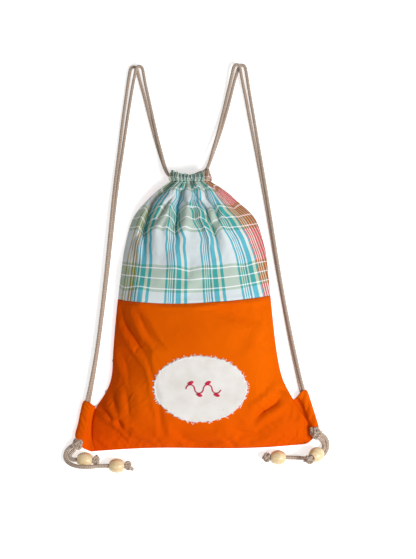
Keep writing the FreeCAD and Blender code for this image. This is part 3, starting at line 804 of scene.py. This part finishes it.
def folded(x, y):
    """The folds' height at each place, with valleys below zero and soft shoulders beside them, and how far
    the cloth of each right bank leans over its valley, which gives the fold its sharp edge."""
    height = np.zeros(x.shape)
    lean_over = np.zeros((2,) + x.shape)
    for points, depth, wide, lean, start, end in FOLDS:
        gap, share, toward = along_line(x, y, points)
        strength = start + (1 - start) * ease(share, 0.0, 0.35)
        strength = strength * (1 - (1 - end) * ease(share, 0.55, 1.0))
        reach = np.where(gap > 0, wide * lean, wide)
        e = np.abs(gap) / reach
        valley = np.exp(-(e**1.7)) - 0.32 * np.exp(-(((e - 2.1) / 0.85) ** 2))
        height -= FOLD_DEPTH * depth * strength * valley
        push = np.where(gap > 0, OVERHANG * depth * strength * e * np.exp(1 - e), 0)
        lean_over += push * toward
    held = off_patch(x, y)
    return height * held, lean_over * held


# ---- front ----
def sack_rows(t):
    """Columns of the row table at each t, ready to combine with the places across."""
    return [column[:, None] for column in smooth_rows(ROWS, t).T]


def sack_plan(t, across):
    """The flat place, the rise and the side (-1 to 1) of each row t at each place across, 0 to 1."""
    left_x, left_y, right_x, right_y, bow, rise = sack_rows(t)
    side = 2 * across - 1
    x = left_x + (right_x - left_x) * across
    y = left_y + (right_y - left_y) * across + bow * (1 - side**2)
    y = y - BOTTOM_SWAY * np.sin(math.pi * side) * (1 - ease(t, 0, 2))[:, None]
    return x, y, rise, np.broadcast_to(side, x.shape)


def toward_neck(t, first):
    """0 up to the first row, 1 at the neck and smooth between, as a column."""
    return ease(t, first, LAST_ROW)[:, None]


def middle_line(t, y):
    """Where the middle of each row is along Y, as a column."""
    return (y[:, :1] + y[:, -1:]) / 2 + sack_rows(t)[4]


def seam_height(t):
    """Height of the side seams: low along the sack and half way up at the neck."""
    low = SIDE_SEAM * ease(t, 0.0, 1.5) + 1.2 * (1 - ease(t, 0.0, 1.5))
    return (low + (NECK_MIDDLE - low) * ease(t, 10.0, LAST_ROW))[:, None]


def warp_ends(t):
    """Where the cloth's own left and right edges come to lie at each row, as columns."""
    share = np.clip((t - SEAM_ROW) / (LAST_ROW - SEAM_ROW), 0, 1.4)[:, None]
    left = WARP_AT_SEAM[0] + (WARP_AT_NECK[0] - WARP_AT_SEAM[0]) * share
    right = WARP_AT_SEAM[1] + (WARP_AT_NECK[1] - WARP_AT_SEAM[1]) * share
    return left, right


def pleats(u, amount, seed):
    """The gathers of the neck, by the flat cloth: narrow valleys between rounded folds."""
    wave = u / PLEAT * 2 * math.pi + 0.9 * np.sin(u / 41.0 + seed) + seed
    crest = np.abs(np.cos(wave / 2)) ** 0.5
    return amount * (crest - 0.75)


def round_profile(side, power):
    """1 in the middle and 0 at both edges, steeper at the edges for a higher power."""
    return (1 - np.abs(np.clip(side, -1, 1)) ** power) ** (1 / power)


def front_surface(t, across):
    """Points of the front and its cloth coordinates."""
    x, y, rise, side = sack_plan(t, across)
    seam = seam_height(t)
    near_neck = toward_neck(t, 11.0)
    dome = 1 - 0.35 * side**2 - 0.65 * side**4
    along = 0.5 * ease(t, 3.0, 5.0) + 0.5 * ease(t, 7.2, 8.2) - ease(t, 9.0, 10.5)
    full = FULL_LEFT * along[:, None] * ease(-side, 0.2, 0.6)
    dome = dome * (1 - full) + round_profile(side, 3.0) * full
    ring = round_profile(side, NECK_ROUND)
    profile = dome * (1 - near_neck) + ring * near_neck
    top = CLOTH + 1.2 + rise
    edge_hold = 1 - np.abs(side) ** 8
    fold, lean_over = folded(x, y)
    fold = fold * edge_hold
    lean_over = lean_over * edge_hold * (1 - toward_neck(t, 12.5))
    height = (top - seam) * profile
    left, right = warp_ends(t)
    x = x + lean_over[0]
    legs = np.hypot(np.diff(x, axis=1), np.diff(fold, axis=1))
    run = np.concatenate([np.zeros((len(t), 1)), np.cumsum(legs, axis=1)], axis=1)
    u = left + (right - left) * run / run[:, -1:]
    fold = fold + pleats(u, 5.0 * toward_neck(t, 12.0), FRONT_PLEATS) * edge_hold
    z = seam + height + fold
    relief = fold[-1]
    lip = EDGE_LIP * ease(np.abs(side), 0.985, 1.0) * (1 - near_neck)
    z = np.maximum(z - lip, 0.9 * CLOTH)
    v = middle_line(t, y) - 0.9 * fold - 4.0 * np.clip(side, 0, 1) ** 2 + 2.0 * ease(t, 9.0, 11.0)[:, None]
    y = y + lean_over[1]
    return np.stack([x, y, z], axis=2), np.stack([u, v, np.zeros_like(u)], axis=2), relief


across = np.linspace(0, 1, COLUMNS)
# More columns near the edges, where the cloth turns down.
across = across - 0.07 * np.sin(2 * math.pi * across)


def even_rows(first, last, count):
    """Rows between two of the table's, evenly spaced along the middle of the sack."""
    t = np.linspace(first, last, 400)
    table = smooth_rows(ROWS, t)
    middle = (table[:, 1] + table[:, 3]) / 2
    return np.interp(np.linspace(middle[0], middle[-1], count), middle, t)


lower_t = even_rows(0, SEAM_ROW, LOWER_ROWS)
upper_t = even_rows(SEAM_ROW, LAST_ROW, UPPER_ROWS)
lower_points, lower_cloth, relief = front_surface(lower_t, across)
upper_points, upper_cloth, relief = front_surface(upper_t, across)

# The seam pulls the cloth down in a narrow groove along the join.
SEAM_GROOVE = 1.3


def groove(points, t):
    """Lowers the points near the seam."""
    gap = np.abs(smooth_rows(ROWS, t)[:, 1] - ROWS[SEAM_ROW][1])[:, None]
    points[:, :, 2] -= SEAM_GROOVE * np.exp(-((gap / 2.0) ** 2))


groove(lower_points, lower_t)
groove(upper_points, upper_t)

# ---- settling ----
SETTLE_STEP = 3  # the settling sheet takes every third point
SETTLE_CAP = 5.0  # the most a point may move
SETTLING = {
    "vertex_group_mass": "held", "quality": 4, "mass": 0.2, "air_damping": 4, "shrink_min": -0.022,
    "tension_stiffness": 25, "compression_stiffness": 25, "shear_stiffness": 6, "bending_stiffness": 0.05,
    "use_pressure": True, "uniform_pressure_force": 0.35,
}


def settle(points):
    """How far each point moves when the front, held at its rim with a little spare cloth, wrinkles."""
    coarse = points[::SETTLE_STEP, ::SETTLE_STEP]
    rows, columns = coarse.shape[:2]
    sheet = make_object("settling", coarse.reshape(-1, 3), grid_faces(rows, columns))
    held = sheet.vertex_groups.new(name="held")
    numbers = np.arange(rows * columns).reshape(rows, columns)
    rim = np.concatenate([numbers[0], numbers[-1], numbers[:, 0], numbers[:, -1]])
    held.add(rim.tolist(), 1.0, "ADD")
    settings = sheet.modifiers.new("cloth", "CLOTH").settings
    settings.effector_weights.gravity = 0
    for key, value in SETTLING.items():
        setattr(settings, key, value)
    for number in range(1, 21):
        bpy.context.scene.frame_set(number)
    graph = bpy.context.evaluated_depsgraph_get()
    settled = sheet.evaluated_get(graph).to_mesh()
    result = np.array([v.co for v in settled.vertices]).reshape(rows, columns, 3) / MM
    bpy.context.scene.frame_set(1)
    mesh = sheet.data
    bpy.data.objects.remove(sheet)
    bpy.data.meshes.remove(mesh)
    return result - coarse


def spread(change, rows, columns):
    """The coarse sheet's moves, on the full grid."""
    for count in (rows, columns):
        steps = np.linspace(0, len(change) - 1, count)
        change = smooth_rows(change.reshape(len(change), -1), steps).reshape(count, -1, 3)
        change = change.transpose(1, 0, 2)
    return change


front_points = np.concatenate([lower_points, upper_points[1:]])
change = settle(front_points)
size = np.linalg.norm(change, axis=2, keepdims=True)
change = change * np.minimum(1, SETTLE_CAP / np.maximum(size, 1e-6))
change = spread(change, *front_points.shape[:2])
# The side seams keep the outline.
side = 2 * across - 1
change[:, :, :2] *= (1 - np.abs(side) ** 3)[:, None]
change[:, :, 2] *= 1 - side**8
# The patch keeps the cloth below it flat, and the plaid is crisper than the orange cloth.
change *= off_patch(front_points[:, :, 0], front_points[:, :, 1])[:, :, None]
change[LOWER_ROWS:] *= 0.5
front_points = front_points + change
front_points[:, :, 2] = np.maximum(front_points[:, :, 2], 0.9 * CLOTH)
lower_points = front_points[:LOWER_ROWS]
upper_points = front_points[LOWER_ROWS - 1:]


def cloth_piece(name, points, cloth, thickness, material, node):
    """A sheet of cloth from a grid of points and the grid's cloth coordinates."""
    rows, columns = points.shape[:2]
    piece = make_object(name, points.reshape(-1, 3), grid_faces(rows, columns))
    add_coordinates(piece, "cloth", cloth)
    thicken(piece, thickness)
    return finish_piece(piece, material, node)


orange_front = cloth_piece("orange_front", lower_points, lower_cloth, CLOTH, ORANGE, "front_lower_panel")
plaid_front = cloth_piece("plaid_front", upper_points, upper_cloth, CLOTH, PLAID, "front_upper_panel")

# What lies on the front finds its height by looking straight down at it.
front_tree = BVHTree.FromPolygons(
    [Vector(p) for p in front_points.reshape(-1, 3)], grid_faces(*front_points.shape[:2])
)


def on_front(x, y, lift=0.0):
    """The place lift millimetres off the front's surface, and the surface's normal."""
    place, normal = front_tree.ray_cast(Vector((x, y, 200)), Vector((0, 0, -1)))[:2]
    if place is None:
        return np.array((x, y, lift)), np.array((0.0, 0.0, 1.0))
    up = np.array(normal) * np.sign(normal[2])
    return np.array(place) + up * lift, up


# ---- back panel ----
BACK_ROWS = 150
BACK_COLUMNS = 111
BACK_CLOTH = 0.8
BACK_INSET = 1.5  # how far the back stays inside the front's edge
# Where the back's cloth shows past the front's left edge: how high on the sack, and how far it shows.
SLIVERS = [(-70, 2.6), (-113, 3.4), (-134, 4.2)]
SLIVER_REACH = 3.0


def back_surface():
    """Points of the back and its cloth coordinates, with the columns turned so that the back faces down."""
    t = even_rows(0, LAST_ROW, BACK_ROWS)
    share = np.linspace(0, 1, BACK_COLUMNS)
    share = share - 0.07 * np.sin(2 * math.pi * share)
    x, y, rise, side = sack_plan(t, share)
    x = x - BACK_INSET * side * ease(np.abs(side), 0.5, 1.0)
    y = y + BACK_INSET * (1 - ease(t, 0.0, 1.0)[:, None])
    for height, past in SLIVERS:
        x -= past * np.clip(-side, 0, 1) ** 12 * np.exp(-(((y - height) / SLIVER_REACH) ** 2))
    seam = seam_height(t)
    near_neck = toward_neck(t, 11.0)
    flat = 1 - np.abs(side) ** 7
    ring = round_profile(side, NECK_ROUND)
    profile = flat * (1 - near_neck) + ring * near_neck
    left, right = warp_ends(t)
    u = left + (right - left) * share
    inside = 1 - np.abs(side) ** 8
    wave = 0.6 + 0.5 * np.sin(x / 19 + 1.3 * np.sin(y / 33)) * np.sin(y / 27 + x / 61)
    z = (seam - EDGE_LIP * (1 - near_neck)) * (1 - profile) + wave * inside
    z += pleats(u, 3.2 * toward_neck(t, 11.5), BACK_PLEATS) * inside
    z = np.maximum(z, 0.05)
    cloth = np.stack(np.broadcast_arrays(-u, middle_line(t, y), 0.0), axis=2)
    return np.stack([x, y, z], axis=2)[:, ::-1], cloth[:, ::-1]


plaid_back = cloth_piece("plaid_back", *back_surface(), BACK_CLOTH, PLAID, "back_panel")

# ---- neck channel ----
NECK_LOW = 179.8
CHANNEL_COLUMNS = 321
CHANNEL_CLOTH = 0.7
# The channel's cross-section, from its sewn foot over the ruffled top to the inner wall's foot:
# how far up it is, 0 to 1, and how far in from the outer wall.
CHANNEL_SECTION = [
    (0.0, 0.6), (0.08, -0.3), (0.25, -1.0), (0.45, -1.3), (0.65, -0.9), (0.82, 0.2), (0.93, 0.6),
    (0.99, 1.3), (0.97, 2.2), (0.86, 2.9), (0.6, 3.6), (0.35, 4.2), (0.1, 4.6),
]
# The ruffle's top edge: place across, height.
RUFFLE = [
    (-1.0, 190.0), (-0.9, 195.0), (-0.72, 192.6), (-0.45, 190.0), (-0.1, 188.8), (0.2, 189.2),
    (0.45, 190.4), (0.7, 193.8), (0.86, 195.6), (1.0, 187.0),
]
# How deep the channel's gathers are, and how far out they stand as a share of that: the front's stand out
# from the cord, and the back's go in from the floor. The last value is how deep their small folds are.
GATHERS = {1: (9.0, 0.45, 2.0), -1: (7.0, -0.45, 3.0)}
FINE_PITCH = 8.1  # flat cloth in each small fold


def channel_half(way, seed):
    """The front (way 1) or the back (way -1) of the gathered channel."""
    side = np.linspace(-1, 1, CHANNEL_COLUMNS)
    section = through(CHANNEL_SECTION, 40)
    up = section[:, :1]
    inward = section[:, 1:]
    neck = np.array(ROWS[LAST_ROW])
    left, right = neck[0], neck[2]
    centre = (left + right) / 2
    half = (right - left) / 2
    u = WARP_AT_NECK[0] + (WARP_AT_NECK[1] - WARP_AT_NECK[0]) * (side + 1) / 2
    carried = np.zeros_like(side)
    if way > 0:
        u = np.interp(side, 2 * across - 1, upper_cloth[-1, :, 0])
        carried = np.interp(side, 2 * across - 1, relief)
    crest = pleats(u, 1.0, seed)
    top = np.interp(side, [p for p, h in RUFFLE], [h for p, h in RUFFLE])
    if way < 0:
        top = top - 2.0
    top = top + 1.6 * (crest + 0.3)
    y = NECK_LOW + (top - NECK_LOW) * up
    flare = 1.0 + 0.06 * up
    depth = np.clip(NECK_MIDDLE - inward, 1, None)
    gather, stand, small = GATHERS[way]
    ripple = (crest + stand) * gather * (0.9 + 0.1 * ease(up, 0.5, 1.0))
    fine = small * np.sin(u / FINE_PITCH * 2 * math.pi + 1.5 * up + seed)
    edge = 1 - np.abs(side) ** 10
    x = centre + (half * flare - 0.5 * inward) * side + 0.5 * np.sin(u / 7 + 5 * up)
    own = ease(up, 0.0, 0.4)
    ripple = (ripple + fine) * edge * own + carried * (1 - own)
    z = NECK_MIDDLE + way * (depth * round_profile(side, NECK_ROUND) + ripple)
    z = np.clip(z, 0.15, None)
    v = NECK_LOW + 19 * up
    # Painted light: how much the plaid is lightened here, most on the gathers' crests.
    crest_lightening = 0.38 * np.clip(crest + 0.6, 0, 1)
    points = np.stack([x, y, z], axis=2)
    cloth = np.stack(np.broadcast_arrays(u * way, v, crest_lightening), axis=2)
    return points[:, ::way], cloth[:, ::way]


channel_front, channel_back = [
    cloth_piece(f"channel_{half}", *channel_half(way, seed), CHANNEL_CLOTH, PLAID, f"{half}_channel")
    for half, way, seed in (("front", 1, FRONT_PLEATS), ("back", -1, BACK_PLEATS))
]


def channel_cord(name, exit_y, y, open_x, closed_x, node):
    """A cord inside the channel, which shows a little between the channel's two halves."""
    way = 1 if closed_x > open_x else -1
    bend = closed_x - way * 12.5
    near = open_x + way * 9
    turn = bend + way * 8.5
    half_way = (near + bend) / 2
    route = [
        (open_x, exit_y, 21), (near, y, 21), (half_way, y, 21), (bend, y, 21), (turn, y, 19),
        (turn, y, 6), (bend, y, 4), (half_way, y, 4), (near, y, 4), (open_x, exit_y, 4),
    ]
    finish_piece(braided_tube(name, [spline_line(route)], CORD_D), CORD_BRAID, node)


channel_cord("left_cord_inside", 185.6, 182.3, -22.0, 20.5, "left_cord_in_channel")
channel_cord("right_cord_inside", 191.8, 186.9, 3.0, -39.5, "right_cord_in_channel")


# ---- stitches ----
STITCH_SIDES = 6
# One stitch: how far along it, its share of the thread's radius and how high it stands, in radii.
STITCH = [
    (0.0, 0.25, -0.6), (0.12, 0.8, 0.2), (0.35, 1.0, 0.75), (0.65, 1.0, 0.75), (0.88, 0.8, 0.2),
    (1.0, 0.25, -0.6),
]


def stitches(name, places, radius, material, node):
    """Short arched threads. Each place is its start, its end and the way up."""
    angle = np.linspace(0, 2 * math.pi, STITCH_SIDES, endpoint=False)
    points = []
    faces = []
    for start, end, up in places:
        along = end - start
        side = np.cross(along, up)
        side /= max(np.linalg.norm(side), 1e-9)
        lift = np.cross(side, along)
        lift /= max(np.linalg.norm(lift), 1e-9)
        faces += tube_faces(len(STITCH), STITCH_SIDES, len(points))
        for share, size, rise in STITCH:
            middle = start + along * share + lift * rise * radius
            for a in angle:
                points.append(middle + (side * math.cos(a) + lift * math.sin(a)) * radius * size)
    finish_piece(make_object(name, points, faces), material, node)


def run_of_stitches(line, pitch, share, lift):
    """Stitches along a plan line on the front: pitch apart, each taking its share of the pitch."""
    places = evenly(np.column_stack([line, np.zeros(len(line))]), pitch)[0]
    found = []
    for a, b in zip(places[:-1], places[1:]):
        start, up = on_front(a[0], a[1], lift)
        end_at = a + (b - a) * share
        end = on_front(end_at[0], end_at[1], lift)[0]
        found.append((start, end, up))
    return found


def row_line(t, shift, trim):
    """The plan line of one row of the sack, moved along Y and without a trim at each end."""
    x, y, rise, side = sack_plan(np.array([float(t)]), np.linspace(trim, 1 - trim, 60))
    return np.column_stack([x[0], y[0] + shift])


seam_places = run_of_stitches(row_line(SEAM_ROW, -2.8, 0.012), 2.6, 0.72, 0.05)
stitches("seam_stitches", seam_places, 0.32, ORANGE_THREAD, "front_seam_stitching")
channel_places = run_of_stitches(row_line(LAST_ROW, -1.8, 0.03), 2.2, 0.66, 0.1)
stitches("channel_stitches", channel_places, 0.34, PALE_THREAD, "channel_stitching")

# ---- patch ----
PATCH_RINGS = 30
PATCH_SPOKES = 180
PATCH_LIFT = 1.0
PATCH_CLOTH = 0.6


def patch_rim(angle):
    """How far the patch reaches at each angle, as a share of the oval: it is cut by hand."""
    wobble = 0.008 * np.sin(3 * angle + 0.7) + 0.006 * np.sin(7 * angle + 2.0) + 0.004 * np.sin(13 * angle)
    flat_corner = 0.035 * np.exp(-(((angle - 3.9) / 0.35) ** 2))
    return 1 + wobble - flat_corner


def patch_piece():
    """The oval patch, in rings from its middle to its edge, which turns down onto the front."""
    angle = np.linspace(0, 2 * math.pi, PATCH_SPOKES, endpoint=False)
    rim = patch_rim(angle)
    points = []
    cloth = []
    for k in range(PATCH_RINGS):
        share = (k + 0.5) / (PATCH_RINGS - 0.5)
        for a, r in zip(angle, rim):
            x = PATCH_X + PATCH_HALF_W * r * share * math.cos(a)
            y = PATCH_Y + PATCH_HALF_H * r * share * math.sin(a)
            drop = 0.5 * ease(share, 0.965, 1.0)
            points.append(on_front(x, y, PATCH_LIFT - drop)[0])
            cloth.append((x, y, 0))
    faces = grid_faces(PATCH_RINGS, PATCH_SPOKES, closed=True)
    faces.append(tuple(reversed(range(PATCH_SPOKES))))
    piece = make_object("calico_patch", points, [tuple(reversed(face)) for face in faces])
    add_coordinates(piece, "cloth", cloth)
    thicken(piece, PATCH_CLOTH)
    return finish_piece(piece, CALICO, "oval_patch")


patch = patch_piece()

# The zigzag edge: slanted threads over the raw edge, some longer and loose.
ZIGZAG = 430
LOOSE_THREADS = 46
edge_random = np.random.default_rng(5)


def rim_place(angle, out, lift):
    """A place out millimetres past the patch's edge, lift off the front, and the way up."""
    r = patch_rim(angle)
    x = PATCH_HALF_W * r * math.cos(angle)
    y = PATCH_HALF_H * r * math.sin(angle)
    length = math.hypot(x, y)
    x = PATCH_X + x * (1 + out / length)
    y = PATCH_Y + y * (1 + out / length)
    return on_front(x, y, lift)


edge_places = []
for k in range(ZIGZAG):
    a = 2 * math.pi * k / ZIGZAG
    step = 2 * math.pi / ZIGZAG
    jag = 0.9 * math.sin(a * 37) + 0.7 * math.sin(a * 61 + 1)
    outer = 0.9 + jag + edge_random.uniform(-0.5, 0.7)
    inner = -2.0 + edge_random.uniform(-1.0, 0.5)
    lean = 0.9 if k % 2 else -0.9
    low, up = rim_place(a - lean * step, inner, PATCH_LIFT + 0.05)
    edge_places.append((low, rim_place(a + lean * step, outer, 0.35)[0], up))
for k in range(LOOSE_THREADS):
    a = edge_random.uniform(0, 2 * math.pi)
    low, up = rim_place(a, 0.4, 0.8)
    end_angle = a + edge_random.uniform(-0.05, 0.05)
    edge_places.append((low, rim_place(end_angle, edge_random.uniform(2.2, 4.4), 0.5)[0], up))
stitches("patch_edge_threads", edge_places, 0.40, EDGE_THREAD, "patch_edge_stitching")

# The stitched sprig: a wavy stem in chain stitch, with leaves in satin stitch.
SPRIG_X = 8.5
SPRIG_WAVE = 6.0
SPRIG_BOWS = 4
LEAF_LONG = 4.2
LEAF_WIDE = 2.4


# For each bow of the stem: its middle, and which way it goes.
BOWS = [(SPRIG_X + SPRIG_WAVE * (2 * i + 1 - SPRIG_BOWS), 1 - 2 * (i % 2)) for i in range(SPRIG_BOWS)]

stem_points = []
for middle_x, side in BOWS:
    for k in range(14):
        a = math.pi * (1 - k / 14)
        y = PATCH_Y + side * SPRIG_WAVE * math.sin(a)
        stem_points.append((middle_x + SPRIG_WAVE * math.cos(a), y, 0))
sprig_places = []
stem = evenly(np.array(stem_points), 2.1)[0]
for a, b in zip(stem[:-1], stem[1:]):
    way = (b - a) / np.linalg.norm(b - a)
    off = np.array((-way[1], way[0], 0)) * 0.55
    for side in (-1, 1):
        start, up = on_front(*(a - way * 0.3)[:2], PATCH_LIFT + 0.3)
        end = on_front(*(b + way * 0.2 + off * side)[:2], PATCH_LIFT + 0.35)[0]
        sprig_places.append((start, end, up))
for middle_x, side in BOWS:
    middle = np.array((middle_x, PATCH_Y + side * (SPRIG_WAVE + LEAF_WIDE)))
    turn = math.radians(20 * side)
    along = np.array((math.cos(turn), math.sin(turn)))
    cross = np.array((-along[1], along[0]))
    for k in range(-6, 7):
        share = k / 6.5
        half = LEAF_WIDE * math.sqrt(1 - share**2)
        centre = middle + along * share * LEAF_LONG
        start, up = on_front(*(centre - cross * half), PATCH_LIFT + 0.25)
        end = on_front(*(centre + cross * half + along * 0.5), PATCH_LIFT + 0.25)[0]
        sprig_places.append((start, end, up))
stitches("sprig_stitches", sprig_places, 0.52, RED_THREAD, "embroidered_motif")

# ---- corner tabs ----
TAB_ROWS = 46
TAB_TURN = 61
# For each tab: its folded outer edge, its sewn inner edge, and how far its lower end bulges out.
TABS = {
    "left": (
        [(-156.5, -125.4), (-160.3, -130), (-163.2, -143), (-166.4, -158), (-169.8, -172.5), (-168, -179)],
        [(-138.5, -136.5), (-141, -142), (-144.8, -157), (-145.4, -172), (-145, -186), (-145.2, -196.6)],
        4.8,
    ),
    "right": (
        [(148.5, -110.2), (153.0, -113), (158.5, -128), (163.0, -143), (166.4, -154), (167.2, -159.5)],
        [(132.0, -128.0), (136.5, -130), (142.5, -138), (147.0, -152), (149.0, -165), (150.0, -186.2)],
        6.0,
    ),
}
TAB_TOP = 9.0
TAB_FLOOR = 0.25
TAB_CLOTH = 0.8
PUCKERS = {"left": 17, "right": 9}  # half waves of the small folds over each tab
# A tab's loop of cloth, from the sewn edge over the cords, round the fold and back underneath:
# place from the sewn edge (0) to the fold (1), and height from the floor (0) to the top (1).
TAB_LOOP = [
    (0.0, 0.08), (0.18, 0.11), (0.32, 0.34), (0.44, 0.82), (0.56, 0.98), (0.72, 1.0), (0.88, 0.9),
    (0.97, 0.62), (1.0, 0.34), (0.965, 0.12), (0.88, 0.0), (0.6, 0.0), (0.3, 0.0), (0.1, 0.0),
    (0.0, 0.02),
]


def tab_piece(side):
    """Points of a tab and its cloth coordinates."""
    way = 1 if side == "right" else -1
    outer_points, inner_points, bulge = TABS[side]
    outer = through(outer_points, TAB_ROWS)
    inner = through(inner_points, TAB_ROWS)
    down = np.linspace(0, 1, TAB_ROWS)[:, None]
    place, height = np.broadcast_to(through(TAB_LOOP, TAB_TURN).T[:, None, :], (2, TAB_ROWS, TAB_TURN))
    x = inner[:, :1] + (outer[:, :1] - inner[:, :1]) * place
    y = inner[:, 1:] + (outer[:, 1:] - inner[:, 1:]) * place
    end_way = outer[-1] - inner[-1]
    end_way = np.array((end_way[1], -end_way[0])) * way / np.linalg.norm(end_way)
    bow = bulge * np.sqrt(np.sin(math.pi * np.clip(place, 0, 1))) * ease(down, 0.45, 1.0)
    x = x + bow * end_way[0]
    y = y + bow * end_way[1]
    upper = ease(height, 0.2, 0.7)
    swell = 0.94 + 0.08 * np.sin(down * 9 + 1) - 0.10 * ease(down, 0.85, 1.0)
    z = TAB_FLOOR + (TAB_TOP - TAB_FLOOR) * height * swell
    slant = place * 5.0 + down * 21.0
    crumple = 0.42 * np.sin(slant * 1.9 + 2 * np.sin(down * 8)) + 0.28 * np.sin(slant * 3.7 - place * 9)
    z = z + crumple * upper * np.sin(math.pi * np.clip(place, 0.05, 0.95))
    pucker = np.sin(down * PUCKERS[side] * math.pi + place * 8 + 0.9 * np.sin(down * 7))
    z = z + 0.5 * (1 + pucker) * upper * ease(np.sin(math.pi * np.clip(place, 0, 1)), 0.0, 0.5)
    x = x + 0.35 * np.sin(down * 17 + place * 4) * upper
    y = y + 0.5 * np.sin(place * 11) * (1 - ease(down, 0.0, 0.08))
    points = np.stack([x, y, np.maximum(z, 0.2)], axis=2)
    cloth = np.stack([place * 18, y, np.zeros_like(x)], axis=2)
    return points[:, ::way], cloth[:, ::way]


tabs = [
    cloth_piece(f"{side}_tab_cloth", *tab_piece(side), TAB_CLOTH, ORANGE, f"{side}_tab")
    for side in TABS
]

# ---- floor and light ----
FLOOR_HALF = 20000
floor_corners = [(x * FLOOR_HALF, y * FLOOR_HALF, -0.3) for x, y in ((-1, -1), (1, -1), (1, 1), (-1, 1))]
floor = make_object("floor", floor_corners, [(0, 1, 2, 3)], smooth=False)
floor_shader = Shader("floor_paper")
floor_tones = [(0.3, srgb(246, 246, 246)), (0.7, srgb(250, 250, 250))]
floor_tone = floor_shader.ramp(floor_shader.noise(3.0), floor_tones, "LINEAR")[0]
floor_shader.surface.inputs["Emission Color"].default_value = (1, 1, 1, 1)
floor_shader.surface.inputs["Emission Strength"].default_value = 0.5
floor_bump = floor_shader.bump(floor_shader.noise(200.0), 0.0001)
floor.data.materials.append(floor_shader.finish(floor_tone, 0.9, floor_bump, specular=0.1))

world = bpy.data.worlds.new("studio")
world.use_nodes = True
background = world.node_tree.nodes["Background"]
background.inputs["Color"].default_value = (1, 1, 1, 1)
background.inputs["Strength"].default_value = 0.24
bpy.context.scene.world = world


def area_light(name, place, size, power):
    data = bpy.data.lights.new(name, "AREA")
    data.energy = power
    data.size = size
    light = bpy.data.objects.new(name, data)
    light.location = place
    light.rotation_mode = "QUATERNION"
    light.rotation_quaternion = (Vector((0, 0, 0)) - Vector(place)).to_track_quat("-Z", "Y")
    bpy.context.scene.collection.objects.link(light)


area_light("key", (1.5, -0.65, 1.8), 0.9, 53)
area_light("soft_top", (0.1, -0.4, 1.9), 1.4, 7.0)
bpy.context.scene.view_settings.view_transform = "Standard"
